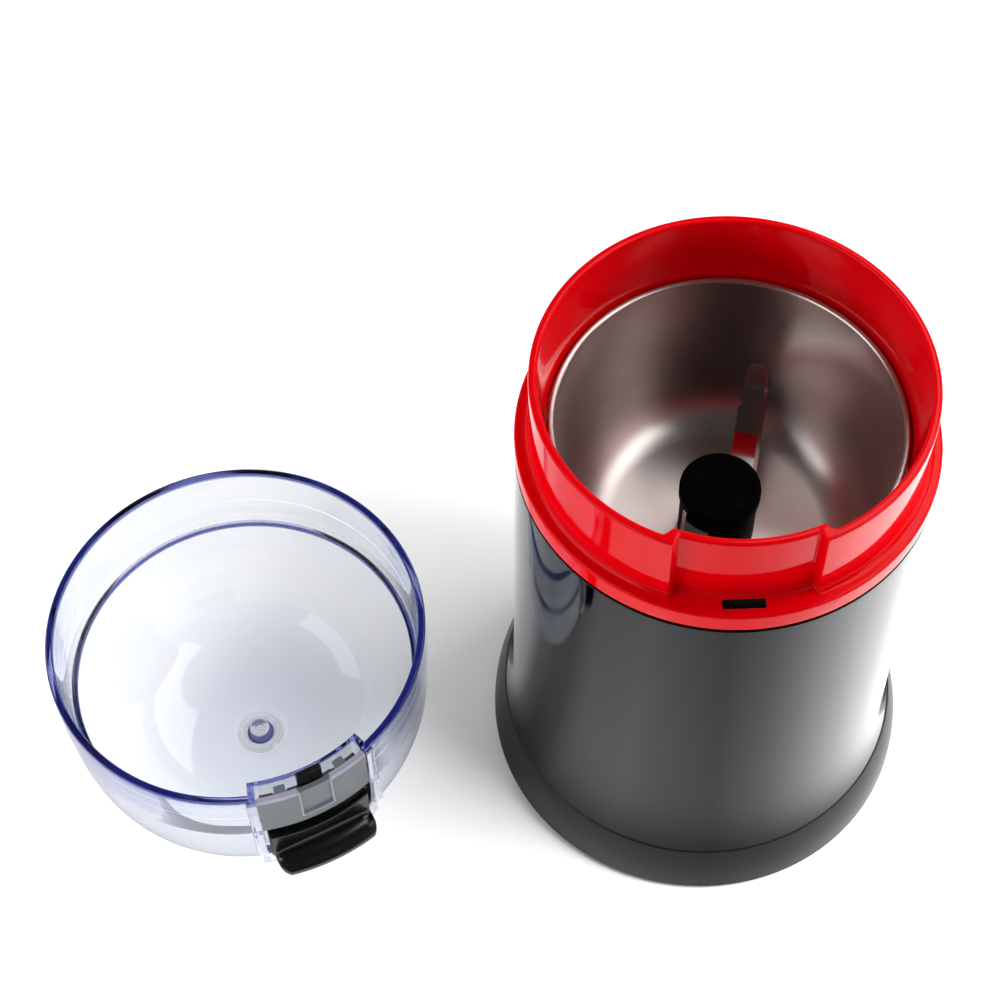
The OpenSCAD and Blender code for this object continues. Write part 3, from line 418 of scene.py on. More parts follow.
# %% [markdown]
# The finishes that are seen come first. The body is dark metallic paint under a gloss, so it is full metallic
# and mirrors the room. The bowl's steel is spun: its fine lines run round, which the Tangent node gives to
# the anisotropic gloss. The hub is so black that it hardly mirrors, and the blade is polished.

# %% Finishes that are seen
finish("body_gunmetal", (0.027, 0.028, 0.030), (0.032, 0.033, 0.035), rough=0.06, spread=0.03, relief=0.004,
       Metallic=1.0)
finish("ring_grey", (0.017, 0.017, 0.018), (0.021, 0.021, 0.022), rough=0.36, relief=0.10, grain=1800,
       Specular_IOR_Level=0.25)
finish("collar_red", (0.74, 0.0, 0.004), (0.69, 0.0, 0.003), (0.82, 0.01, 0.01), rough=0.06, spread=0.03,
       relief=0.004, Specular_IOR_Level=0.14)
finish("rubber_black", (0.018, 0.018, 0.018), (0.026, 0.026, 0.026), rough=0.7, relief=0.2)
finish("screw_steel", (0.55, 0.55, 0.56), (0.48, 0.48, 0.49), rough=0.3, relief=0.05, Metallic=1.0)
tree, look, _ = finish("bowl_steel", (0.62, 0.57, 0.55), (0.60, 0.55, 0.53), rough=0.30, spread=0.02,
                       relief=0.0015, lines=0.06, line_scale=6000, Metallic=1.0, Anisotropic=0.8,
                       Anisotropic_Rotation=0.25)
spun = node(tree, "ShaderNodeTangent", direction_type="RADIAL", axis="Z")
tree.links.new(spun.outputs[0], look.inputs["Tangent"])
finish("blade_steel", (0.34, 0.31, 0.295), (0.31, 0.28, 0.27), rough=0.05, spread=0.02, relief=0.002,
       Metallic=1.0)
finish("hub_black", (0.0004, 0.0004, 0.0004), (0.0010, 0.0010, 0.0010), rough=0.55, relief=0.02,
       Specular_IOR_Level=0.03)
finish("button_black", (0.003, 0.003, 0.003), (0.005, 0.005, 0.005), rough=0.2, relief=0.01,
       Specular_IOR_Level=0.7)
finish("plunger_grey", (0.12, 0.115, 0.11), (0.14, 0.135, 0.13), rough=0.3, relief=0.05)
finish("base_black", (0.022, 0.022, 0.023), (0.030, 0.030, 0.031), rough=0.5, relief=0.15, grain=1500)
print("finishes so far:", len(finishes))

# %% [markdown]
# Inside the grinder, two materials have a pattern that is as plain as their colour. A core is a stack of
# steel sheets, and a winding is wire laid side by side. A wave texture gives both: its bands are the sheets
# or the turns, and the same bands go into the relief.

# %% Patterns of sheets and wire
def bands(tree, scale, **settings):
    """Equal bands, one above the other."""
    where = node(tree, "ShaderNodeTexCoord").outputs["Object"]
    wave = {"Vector": where, "Scale": scale, **settings}
    return node(tree, "ShaderNodeTexWave", wave, bands_direction="Z").outputs["Fac"]


def sheets(tree, colours, _):
    """Stacked steel sheets: fine dark lines at equal heights."""
    layers = bands(tree, 320.0, Distortion=0.0)
    gap = {"Value": layers, "From Min": 0.0, "From Max": 0.35, "To Min": 0.6}
    dark = node(tree, "ShaderNodeMapRange", gap).outputs[0]
    return mix(tree, dark, (0.02, 0.02, 0.022, 1), colours), layers


def turns(tree, colours, _):
    """Wound wire: round ridges side by side, darker in the grooves."""
    wires = bands(tree, 260.0, **{"Distortion": 1.5, "Detail Scale": 3.0})
    return mix(tree, wires, (0.16, 0.05, 0.015, 1), colours), wires


# %% Finishes inside
finish("gasket_grey", (0.25, 0.25, 0.25), rough=0.6, relief=0.1)
finish("carrier_black", (0.03, 0.03, 0.032), (0.04, 0.04, 0.042), rough=0.5, relief=0.1)
finish("bracket_alloy", (0.52, 0.52, 0.53), (0.45, 0.45, 0.46), rough=0.45, relief=0.25, Metallic=1.0)
finish("bush_bronze", (0.45, 0.27, 0.10), (0.38, 0.22, 0.08), rough=0.4, relief=0.1, Metallic=1.0)
finish("lamination", (0.30, 0.30, 0.31), (0.26, 0.26, 0.27), rough=0.5, relief=0.6, pattern=sheets,
       Metallic=1.0)
finish("copper", (0.72, 0.28, 0.12), (0.62, 0.22, 0.09), rough=0.35, relief=0.8, pattern=turns, Metallic=1.0)
finish("brass_part", (0.66, 0.47, 0.18), (0.60, 0.42, 0.15), rough=0.32, relief=0.05, Metallic=1.0)
finish("carbon", (0.02, 0.02, 0.02), (0.03, 0.03, 0.03), rough=0.65, relief=0.2)
finish("shaft_steel", (0.58, 0.58, 0.59), (0.52, 0.52, 0.53), rough=0.22, relief=0.03, lines=0.5,
       Metallic=1.0)
finish("fan_plastic", (0.62, 0.60, 0.54), (0.58, 0.56, 0.50), rough=0.45, relief=0.08)
finish("switch_black", (0.015, 0.015, 0.016), rough=0.4, relief=0.08)
finish("switch_red", (0.5, 0.01, 0.01), rough=0.35, relief=0.05)
finish("spring_steel", (0.60, 0.60, 0.62), (0.52, 0.52, 0.54), rough=0.2, relief=0.03, Metallic=1.0)
finish("terminal_cream", (0.62, 0.58, 0.45), (0.58, 0.54, 0.42), rough=0.4, relief=0.05)
finish("capacitor_yellow", (0.72, 0.45, 0.03), (0.66, 0.40, 0.03), rough=0.35, relief=0.04)
finish("cutout_white", (0.68, 0.68, 0.66), (0.62, 0.62, 0.60), rough=0.35, relief=0.05)
finish("lead_blue", (0.02, 0.06, 0.35), (0.03, 0.08, 0.40), rough=0.4, relief=0.04)
print("finishes:", sorted(finishes))

# %% [markdown]
# ## Clear plastic
# The lid is clear, and looks deep violet where the light runs a long way inside it: at the rim, at the edge
# of the inner shelf and round the moulding point. Two things give that. A thin absorbing volume tints the
# long paths, and painted violet and dark bands on the surface, by height or by distance from the lid's
# middle, stand in for the rest of that light. The lid's flat floor is also painted greyer towards its
# middle, as painted shade. Light that is refracted on its way to a lamp would be lost, so for shadow rays
# only, a transparent shader is mixed in. Cover and frosted edge are partly clear and partly milky, so they
# transmit about half.

# %% Painted bands and shade of the lid
LID_MIDDLE = (-0.118, -0.0052, 0.0)
# Bands of painted violet, painted dark lines and painted shade on the lid's surface.
PAINTED_LID_BANDS = {  # the measure, the band's middle, its half width and its soft margin, in metres
    "rim": ("height", 0.0600, 0.0010, 0.0006), "shelf": ("height", 0.0386, 0.0005, 0.0005),
    "shelf_edge": ("reach", 0.0431, 0.0006, 0.0003), "point": ("reach", 0.0031, 0.0004, 0.0003),
    "low": ("height", 0.0020, 0.0030, 0.0010), "floor_shade": ("height", 0.0020, 0.0040, 0.0180),
}


def painted_lines_and_shade(tree, colours, height):
    """Painted violet rim and dark lines at the shelf and moulding point; painted shade on the lid's floor."""
    at = node(tree, "ShaderNodeMapping", {
        "Vector": node(tree, "ShaderNodeTexCoord").outputs["Object"], "Location": [-c for c in LID_MIDDLE],
    }).outputs[0]
    away = node(tree, "ShaderNodeSeparateXYZ", {0: at}).outputs
    measures = {"height": away[2], "reach": from_axis(tree, away)}
    band = {}
    for name, (measure, middle, half, soft) in PAINTED_LID_BANDS.items():
        off = calc(tree, "ABSOLUTE", calc(tree, "SUBTRACT", measures[measure], middle))
        edge = {"Value": off, "From Min": half + soft, "From Max": half}
        band[name] = node(tree, "ShaderNodeMapRange", edge).outputs[0]
    # Painted dark lines at the shelf's edge and round the moulding point.
    line = calc(tree, "MAXIMUM", calc(tree, "MULTIPLY", band["shelf"], band["shelf_edge"]),
                calc(tree, "MULTIPLY", band["point"], band["low"]))
    # Painted shade: the lid's flat floor turns greyer towards its middle.
    shade_towards_middle = node(tree, "ShaderNodeMapRange", {
        "Value": measures["reach"], "From Min": 0.047, "From Max": 0.014,
    }, interpolation_type="SMOOTHSTEP").outputs[0]
    colours = mix(tree, calc(tree, "MULTIPLY", shade_towards_middle, band["floor_shade"]), colours, (0.70, 0.73, 0.78, 1))
    # A painted violet band along the rim.
    colours = mix(tree, band["rim"], colours, (0.09, 0.10, 0.40, 1))
    return mix(tree, line, colours, (0.03, 0.035, 0.20, 1)), height


# %% Clear finishes
def clear(slot, tint, density, colour, rough=0.02, relief=0.01, **shader):
    """A finish that light goes through, with a tint that grows with the way it runs inside."""
    tree, look, out = finish(slot, colour, rough=rough, spread=0.02, rub=0.0, drift=25, grain=300,
                             relief=relief, IOR=1.5, **shader)
    see_through = node(tree, "ShaderNodeBsdfTransparent", {"Color": (0.98, 0.98, 0.985, 1)})
    is_shadow = node(tree, "ShaderNodeLightPath").outputs["Is Shadow Ray"]
    passed = node(tree, "ShaderNodeMixShader", {0: is_shadow, 1: look.outputs[0], 2: see_through.outputs[0]})
    inside = node(tree, "ShaderNodeVolumeAbsorption", {"Color": (*tint, 1), "Density": density})
    tree.links.new(passed.outputs[0], out.inputs["Surface"])
    tree.links.new(inside.outputs[0], out.inputs["Volume"])


clear("lid_clear", (0.0, 0.10, 0.56), 12, (0.925, 0.938, 0.957), pattern=painted_lines_and_shade,
      Transmission_Weight=1.0, Specular_IOR_Level=1.0)
clear("cover_clear", (0.10, 0.20, 0.19), 300, (0.31, 0.345, 0.37), rough=0.2, Transmission_Weight=0.5)
clear("frosted_edge", (0.3, 0.3, 0.5), 40, (0.62, 0.60, 0.74), rough=0.35, relief=0.2,
      Transmission_Weight=0.35)

# %% [markdown]
# ## Copies round the axis
# Feet, screws, springs, fan vanes and the cover's teeth all stand on a circle round an axis. One geometry
# tree takes a single piece and sets copies of it on such a circle, so the count, the radius and the angles
# are plain numbers. The pieces that it copies are only patterns, and are thrown away afterwards.

# %% Tree that copies a piece round the axis
ring_tree, given, out = shape_tree("Copies round the axis", [
    ("Piece", "Object"), ("Count", "Int"), ("Radius", "Float"), ("First angle", "Float"),
    ("Step angle", "Float"), ("Finish", "Material"),
])
pattern = node(ring_tree, "GeometryNodeObjectInfo", {"Object": given["Piece"]})
index = node(ring_tree, "GeometryNodeInputIndex").outputs[0]
turned_on = calc(ring_tree, "MULTIPLY", index, given["Step angle"])
angle = calc(ring_tree, "MULTIPLY", calc(ring_tree, "ADD", given["First angle"], turned_on), math.pi / 180)
where = node(ring_tree, "ShaderNodeCombineXYZ", {
    0: calc(ring_tree, "MULTIPLY", given["Radius"], calc(ring_tree, "COSINE", angle)),
    1: calc(ring_tree, "MULTIPLY", given["Radius"], calc(ring_tree, "SINE", angle)),
})
spots = node(ring_tree, "GeometryNodePoints", {"Count": given["Count"], "Position": where.outputs[0]})
faced = node(ring_tree, "ShaderNodeCombineXYZ", {2: angle})
copies = node(ring_tree, "GeometryNodeInstanceOnPoints", {
    "Points": spots.outputs[0], "Instance": pattern.outputs["Geometry"],
    "Rotation": node(ring_tree, "FunctionNodeEulerToRotation", {0: faced.outputs[0]}).outputs[0],
})
ended(ring_tree, copies.outputs[0], given["Finish"], out)


# %% Copies on a circle, and meshes put together
def ringed(name, piece, count, ring, first, step, slot):
    """Copies of a piece, drawn at the axis and facing +X, on a circle in millimetres. It is then removed."""
    made = grown(name, ring_tree, {
        "Piece": piece, "Count": count, "Radius": ring * MM, "First angle": float(first),
        "Step angle": float(step), "Finish": finishes[slot],
    })
    bpy.data.objects.remove(piece)
    return made


def joined(name, *pieces):
    """Several meshes as one object, without cutting them into each other."""
    shape = bmesh.new()
    for piece in pieces:
        shape.from_mesh(piece.data)
        bpy.data.objects.remove(piece)
    mesh = bpy.data.meshes.new(name)
    shape.to_mesh(mesh)
    shape.free()
    return shown(name, mesh)


# %% [markdown]
# ## The base
# The ring is a wide moulding with a small flare towards the table. It could be pulled out of a cylinder by
# hand, but a section that is drawn and turned keeps the flare smooth and every size exact. The hole for the
# cord's gland is then cut through the back of it.

# %% Base ring
SEAM_Z, SEAM_R, FOOT_FLARE = 17.2, 51.0, 3.0
RING_LOW, RING_ROWS = 1.5, 12
CORD_Z = 9.8
ring_outside = [
    (SEAM_R + FOOT_FLARE * (1 - (k / RING_ROWS) ** 2.5), RING_LOW + (SEAM_Z - RING_LOW) * k / RING_ROWS)
    for k in range(RING_ROWS + 1)]
ring_section = rounded([
    (*ring_outside[0], 0.5), *[(r, z, 0) for r, z in ring_outside[1:-1]], (*ring_outside[-1], 0.7),
    (46.9, SEAM_Z, 0), (46.9, 20.9, 0.4), (45.2, 20.9, 0.4), (45.2, 15.0, 0), (49.4, 15.0, 0.5),
    (49.4, 4.2, 0), (50.7, 4.2, 0), (50.7, RING_LOW, 0.3)])
base_ring = turned("ring_shell", ring_section, 256)
bore = moved(turned("bore", [(0, 0), (5.1, 0), (5.1, 14), (0, 14)], 64), (0, 45, CORD_Z), -90, "X")
carved(base_ring, bore)
shaded(base_ring)
print("base ring faces:", len(base_ring.data.polygons))

# %% [markdown]
# ## The body
# The sleeve is straight at the top and flares softly into the base. That is a rule, radius against height, so
# a geometry tree makes it from a flat grid: one side of the grid goes round, the other goes up, and Set
# Position bends it. Solidify gives it the sheet's thickness and Bevel its rims.

# %% Tree for the sleeve
tree, given, out = shape_tree("Sleeve by rule", [
    ("Foot", "Float"), ("Height", "Float"), ("Radius", "Float"), ("Taper", "Float"), ("Flare", "Float"),
    ("Flare power", "Float"), ("Around", "Int"), ("Up", "Int"), ("Finish", "Material"),
])
grid = node(tree, "GeometryNodeMeshGrid", {
    "Size X": 1.0, "Size Y": 1.0, "Vertices X": given["Around"], "Vertices Y": given["Up"],
})
flat = node(tree, "ShaderNodeSeparateXYZ", {0: node(tree, "GeometryNodeInputPosition").outputs[0]}).outputs
turn = calc(tree, "MULTIPLY", flat[0], 2 * math.pi)
share = calc(tree, "POWER", calc(tree, "ADD", flat[1], 0.5), 1.6)
left = calc(tree, "SUBTRACT", 1.0, share)
flare = calc(tree, "MULTIPLY", given["Flare"], calc(tree, "POWER", left, given["Flare power"]))
wider = calc(tree, "ADD", calc(tree, "MULTIPLY", given["Taper"], left), flare)
reach = calc(tree, "ADD", given["Radius"], wider)
bent = node(tree, "ShaderNodeCombineXYZ", {
    0: calc(tree, "MULTIPLY", reach, calc(tree, "COSINE", turn)),
    1: calc(tree, "MULTIPLY", reach, calc(tree, "SINE", turn)),
    2: calc(tree, "ADD", given["Foot"], calc(tree, "MULTIPLY", given["Height"], share)),
})
placed = node(tree, "GeometryNodeSetPosition", {"Geometry": grid.outputs[0], "Position": bent.outputs[0]})
closed = node(tree, "GeometryNodeMergeByDistance", {"Geometry": placed.outputs[0], "Distance": 0.00001})
ended(tree, closed.outputs[0], given["Finish"], out)
print("nodes in the sleeve's tree:", len(tree.nodes))

# %% Body sleeve
BODY_R, SLEEVE_TOP, SLEEVE_WALL = 47.5, 128.5, 2.2
body_sleeve = grown("body_shell", tree, {
    "Foot": SEAM_Z * MM, "Height": (SLEEVE_TOP - SEAM_Z) * MM, "Radius": BODY_R * MM, "Taper": 1.1 * MM,
    "Flare": 2.2 * MM, "Flare power": 12.0, "Around": 257, "Up": 60, "Finish": finishes["body_gunmetal"],
})
wall = body_sleeve.modifiers.new("Wall", "SOLIDIFY")
wall.thickness, wall.offset, wall.use_even_offset = SLEEVE_WALL * MM, -1.0, True
applied(body_sleeve)
shaded(eased(body_sleeve, 0.35, 60))
print("sleeve:", len(body_sleeve.data.polygons), "faces, top radius",
      round(max(v.co.x for v in body_sleeve.data.vertices if v.co.z > 0.12), 4))

# %% [markdown]
# ## The collar
# One red moulding makes the ledge, the rim and the notch. Away from the notch it is turned; at the notch the
# rim's two walls step inwards, each with a soft S in plan. So the section is swept round in many small turns,
# and every section asks how far its walls are stepped in at that angle. The turns are close together at the
# steps.

# %% Sections of the collar
RIM_R, RIM_IN_R, NOTCH_R, NOTCH_IN_R = 44.3, 42.4, 42.0, 40.1
LEDGE_TOP, RIM_TOP, COVE = 134.8, 155.6, 1.6


def step_share(value, start, end):
    """0 before start, 1 after end, an S between them."""
    t = min(1, max(0, (value - start) / (end - start)))
    return t * t * (3 - 2 * t)


def collar_section(az):
    """The section at an angle from the notch's middle. Each wall steps in by a share of its own."""
    outer = (RIM_R - NOTCH_R) * step_share(-abs(az), -21.3, -20.2)
    inner = step_share(-abs(az), -25.0, -22.3)
    cove = [(RIM_R + COVE * (1 - math.sin(a)) - outer, LEDGE_TOP + COVE * (1 - math.cos(a)), 0)
            for a in map(math.radians, range(0, 91, 15))]
    corners = [
        (42.5, 121.4, 0), (44.9, 121.4, 0), (44.9, SLEEVE_TOP, 0), (46.6, SLEEVE_TOP, 0), (46.6, 129.5, 0),
        (BODY_R, 129.5, 0.3), (BODY_R, LEDGE_TOP, 0.8), *cove, (RIM_R - outer, RIM_TOP, 0.75),
        (RIM_IN_R - (RIM_IN_R - NOTCH_IN_R) * inner, RIM_TOP, 0.75), (40.6 - 0.5 * inner, 139.2, 0.5),
        (40.4 - 0.3 * inner, 136.4, 0), (39.5, 136.4, 0), (39.5, 134.0, 0), (41.5, 132.0, 0),
        (42.5, 132.0, 0),
    ]
    return [polar(az, r, z) for r, z in rounded(corners, 5)]


# %% Collar
STEP_FROM, STEP_TO = 19.9, 25.3
fine = [side * a for side in (-1, 1) for a in span(STEP_FROM, STEP_TO, 54)]
coarse = span(-STEP_FROM, STEP_FROM, 24) + span(STEP_TO, 360 - STEP_TO, 200)[1:-1]
steps_at = sorted({round(a, 3) for a in fine + coarse})
sections = [collar_section(az if az <= 180 else az - 360) for az in steps_at]
collar = swept("collar_shell", sections, closed=True)
carved(collar, box_piece("slot", (-4.7, -45.2, 129.0), (4.7, -42.9, 136.0), 0.25))
carved(collar, box_piece("slot_room", (-5.2, -45.2, 120.0), (5.2, -41.9, 129.4), 0))
shaded(collar, 40)
# The slot's inner walls are the same red moulding; they take the black finish as painted shade inside the
# slot.
edged(collar, lambda c: abs(c.x) < 4.72 and -45.25 < c.y < -42.85 and c.z < LEDGE_TOP - 0.35)
print("collar faces:", len(collar.data.polygons), "sections:", len(steps_at))

# %% [markdown]
# ## The bowl
# The bowl is spun from sheet steel: a flat floor, a soft corner and an almost straight wall that ends in a
# rolled bead. One line with Solidify would make a wall, but the inner corner is rounder than the outer one,
# so both lines are drawn and turned together. The bead is a full round in section, and it catches the
# brightest line on the whole part.

# %% Bowl
def bowl_corner(start, edge, low, rise, steps=20):
    """A quarter of an ellipse, from the floor's edge up to the wall."""
    quarter = [math.radians(90 * k / steps) for k in range(steps + 1)]
    return [(start + (edge - start) * math.sin(a), low + rise * (1 - math.cos(a)), 0) for a in quarter]


FLOOR_LOW, FLOOR_TOP, SHAFT_HOLE, BEAD_TOP = 92.2, 93.0, 4.6, 138.6
bowl_outside = bowl_corner(25, 38.1, FLOOR_LOW, 13.8)
bowl_inside = bowl_corner(24.8, 37.4, FLOOR_TOP, 14.5)
bowl = turned("bowl_shell", rounded([
    (SHAFT_HOLE, FLOOR_LOW, 0), *bowl_outside, (39.2, 137.2, 0), (39.9, 137.2, 0.3), (39.9, BEAD_TOP, 0.7),
    (38.4, BEAD_TOP, 0.75), *bowl_inside[::-1], (SHAFT_HOLE, FLOOR_TOP, 0)], 6), 256)
shaded(bowl)
print("bowl faces:", len(bowl.data.polygons))

# %% [markdown]
# ## The blade and its hub
# The blade is stamped from one sheet of steel. Two arms stand beside the axis, on opposite sides of it, and
# each has a small step in one edge, a ground edge and a tip that is bent up. An arm is drawn as a strip of
# stations along its length, so that the bend is a plain change of height between two stations. The second arm
# is the first one turned by half a turn. The hub under the blade is a plain column and the cap over it is a
# shallow dish, so both are turned.

# %% Blade
BLADE_Z, BLADE_T, ARM_SIDE, BLADE_TURN = 107.0, 1.2, 4.37, 78
arm_stations = [  # distance, right edge, left edge, height
    (0, -3.3, 3.3, 0), (9.0, -3.3, 3.3, 0), (18.0, -3.28, 3.3, 0), (25.2, -3.25, 3.3, 0),
    (26.0, -3.25, 2.55, 0), (30.0, -3.2, 2.6, 0), (30.7, -3.2, 2.6, 0), (31.3, -3.15, 2.6, 0.35),
    (32.1, -3.0, 2.6, 1.5), (33.6, -2.7, 2.45, 4.0), (34.4, -2.2, 1.7, 5.1),
]


def blade_section(distance, right, left, height):
    """One station across the arm: the ground edge is at its right, and its corners are broken."""
    ground, right, left = 0.9, right - ARM_SIDE, left - ARM_SIDE
    low, high = BLADE_Z + height, BLADE_Z + height + BLADE_T
    return [(distance, side, z) for side, z in (
        (right, low + 0.35), (right + ground, low), (left - 0.25, low), (left, low + 0.25),
        (left, high - 0.2), (left - 0.2, high), (right + ground, high), (right, low + 0.6))]


arm = [blade_section(*station) for station in arm_stations]
blade = swept("blade_strip", arm)
carved(blade, swept("arm_back", [[(-x, -y, z) for x, y, z in section] for section in arm]), "UNION")
middle = [(0, BLADE_Z), (8, BLADE_Z), (8, BLADE_Z + BLADE_T), (0, BLADE_Z + BLADE_T)]
carved(blade, turned("middle", middle, 48), "UNION")
shaded(moved(blade, turn=BLADE_TURN), 20)
print("blade faces:", len(blade.data.polygons))

# %% Hub and cap
hub_cap = shaded(turned("hub_cap_shell", rounded([
    (0, 108.2, 0), (9.5, 108.2, 0.2), (9.5, 111.4, 0.8), (8.0, 111.4, 0.3), (7.6, 111.15, 0.3),
    (0, 111.15, 0)]), 128))
blade_hub = shaded(turned("hub_column", rounded([
    (4.1, 93.6, 0), (9.0, 93.6, 0.6), (9.0, BLADE_Z, 0.3), (4.1, BLADE_Z, 0)]), 96))
print("cap and hub faces:", len(hub_cap.data.polygons), len(blade_hub.data.polygons))

# %% [markdown]
# ## The lid
# The lid is one clear moulding: a dome, a band, a shelf inside, and at the front a box for the latch between
# two thick cheeks. Glass-like plastic needs one closed skin, because an inner face where two pieces overlap
# would bend the light again. So the pieces are joined with boolean operations, and the box is cut out of
# them.

# %% Section of the lid
LID_H, LID_R, LID_IN_R, BAND_LOW, SHELF_Z = 59.6, 47.5, 45.5, 46.7, 38.6
LID_PLACE = Matrix.Translation(LID_MIDDLE) @ Matrix.Rotation(math.radians(25.5), 4, "Z")


def dome(radius, edge, low, power, steps=28):
    """A section like a flattened quarter circle, from its low end up to the edge."""
    angles = [math.radians(86 * (1 - k / steps)) for k in range(steps + 1)]
    return [(radius * math.cos(a) ** (2 / power), edge - (edge - low) * math.sin(a) ** (2 / power), 0)
            for a in angles]


dome_outside = dome(47.1, 43.1, 0, 2.9)
dome_inside = dome(43.0, SHELF_Z, 2.2, 3.2)
moulding_point = [
    (7.4, 2.2, 1.0), (6.0, 2.9, 0.8), (4.6, 2.9, 0.5), (3.7, 0.9, 0.4), (3.1, 0.9, 0.3), (2.7, 3.7, 0.9),
    (1.3, 3.7, 0.3), (1.1, 3.0, 0.3), (0.7, 3.0, 0.2), (0.6, 3.6, 0.5), (0, 3.8, 0)]
lid_section = rounded([
    (0, 0, 0), (dome_outside[0][0] * 0.8, 0, 0), *dome_outside, (47.1, BAND_LOW, 0.15),
    (LID_R, BAND_LOW, 0.2), (LID_R, LID_H, 0.5), (LID_IN_R, LID_H, 0.5), (44.6, SHELF_Z, 0.25),
    (43.0, SHELF_Z, 0.5), *dome_inside[::-1][1:], *moulding_point])
print("lid section points:", len(lid_section))

# %% Lid shell
lid_shell = turned("lid_moulding", lid_section, 224)
channel = rounded([(42.2, 22.0, 0.6), (47.3, 22.0, 0), (47.3, LID_H, 0), (42.2, LID_H, 0.3)])
carved(lid_shell, arc("channel", channel, 19.8, 30), "UNION")
cheek = rounded([
    (LID_IN_R, 29.0, 0), (46.5, 29.0, 0.6), (49.3, 32.0, 1.2), (49.3, 43.8, 0.6), (48.4, 44.6, 0.6),
    (48.4, 59.0, 0.8), (LID_IN_R, 59.0, 0)])
for side in (-1, 1):
    carved(lid_shell, eased(arc("cheek", cheek, 2.0, 6, side * 18.6), 0.5, 50), "UNION")
carved(lid_shell, arc("hollow", [(43.1, 23.2), (53.0, 23.2), (53.0, 61.0), (43.1, 61.0)], 17.6, 30))
lid_shell.data.transform(LID_PLACE)
shaded(lid_shell)
print("lid faces:", len(lid_shell.data.polygons))

# %% [markdown]
# ## The latch's cover
# A clear plate closes the latch's box from the front. It has a sunk window with a raised frame, two lugs that
# the button's springs push against, and a row of fine teeth along its upper edge. The teeth repeat, so one
# tooth is drawn and the tree sets it out twice, from the left and from the right. The upper edge, the teeth
# and the frame get a milkier finish than the plate.

# %% Latch cover
COVER_R, COVER_TOP, TEETH_HALF = 47.9, 59.2, 16.9
FRONT = -90  # the tree counts its angles from +X, and the latch looks along -Y
latch_cover = arc("cover_plate", rounded([
    (46.6, 42.8, 0.2), (COVER_R, 42.8, 0.3), (COVER_R, 57.9, 0), (COVER_R, COVER_TOP, 0.25),
    (46.6, COVER_TOP, 0.2)]), 17.4, 40)
carved(latch_cover, arc("window", [(47.4, 46.4), (49.0, 46.4), (49.0, 58.0), (47.4, 58.0)], 4.75, 12))
shaded(latch_cover)
edged(latch_cover, lambda c: c.z > 57.95 and abs(math.degrees(math.atan2(c.x, -c.y))) > 5)
bright = []
for side in (-1, 1):
    tooth = box_piece("tooth", (-0.62, -0.2, 58.9), (0.62, 0.2, 59.55), 0.12)
    bright.append(ringed("teeth", tooth, 26, 47.22, FRONT + side * TEETH_HALF, -side * 0.46, "cover_clear"))
bright.append(arc("bar", [(47.3, 45.95), (48.1, 45.95), (48.1, 46.45), (47.3, 46.45)], 5.2, 12))
upright = [(47.3, 46.0), (48.1, 46.0), (48.1, COVER_TOP), (47.3, COVER_TOP)]
bright += [arc("bar", upright, 0.26, 2, side * 4.95) for side in (-1, 1)]
for piece in bright:
    edged(piece, lambda c: True)
hook = [(44.0, 57.6), (46.7, 57.6), (46.7, 58.4), (44.0, 58.4)]
lugs = [arc("lug", hook, 1.8, 4, side * 10) for side in (-1, 1)]
latch_cover = joined("cover_with_teeth", latch_cover, *bright, *lugs)
latch_cover.data.transform(LID_PLACE)
print("cover faces:", len(latch_cover.data.polygons))

# %% [markdown]
# ## The latch's button
# The black button is a curved slab behind the cover, with a thumb lip at its foot and a tongue above the
# lid's edge. The lip's front has round corners when seen from above, and a lens-shaped hollow for the thumb.
# Both change with the angle, so the section is swept in small turns and its reach is worked out for each of
# them.

# %% Sections of the button
SLAB_IN_R, SLAB_R, FACE_R, LIP_R = 43.3, 46.3, 48.3, 53.8
LIP_HALF, LIP_CORNER, LIP_BOTTOM, LIP_T, FACE_TOP = 13.2, 5.0, 25.6, 2.6, 38.3
THUMB_HALF, THUMB_DEEP, THUMB_RISE, THUMB_SAG, BACK_R = 15.2, 1.3, 5.2, 1.9, 44.3


def lip_reach(az):
    """How far the lip reaches at an angle: its round front, its corner, then its straight side."""
    far = LIP_R
    side, front = abs(math.sin(math.radians(az))), math.cos(math.radians(az))
    while far > SLAB_R:
        x, y = far * side, far * front
        dx, dy = x - (LIP_HALF - LIP_CORNER), y - (LIP_R - LIP_CORNER)
        if x <= LIP_HALF and not (dx > 0 and dy > 0 and dx * dx + dy * dy > LIP_CORNER ** 2):
            return far
        far -= 0.02
    return far


def button_section(az):
    """The section at an angle: the lip, the thumb's hollow above it and the plain face over that."""
    far, lip_top = lip_reach(az), LIP_BOTTOM + LIP_T
    face = min(FACE_R, far - 0.05)
    deep = THUMB_DEEP * max(0, 1 - (az / THUMB_HALF) ** 2)
    crest = lip_top + (THUMB_RISE - THUMB_SAG * (az / THUMB_HALF) ** 2)
    hollow = []
    for a in map(math.radians, range(0, 91, 9)):
        out = (far - 0.9 - face + deep) * (1 - math.sin(a)) ** 1.1
        hollow.append((face - deep + out, lip_top - 0.1 + (crest - lip_top - 0.6) * (1 - math.cos(a)), 0))
    return [polar(az, r, z) for r, z in rounded([
        (BACK_R, LIP_BOTTOM, 0), (far, LIP_BOTTOM, 1.0), (far, lip_top - 0.1, 0.8), *hollow,
        (face, crest, 0.15), (face, FACE_TOP, 0.4), (BACK_R, FACE_TOP, 0)])]


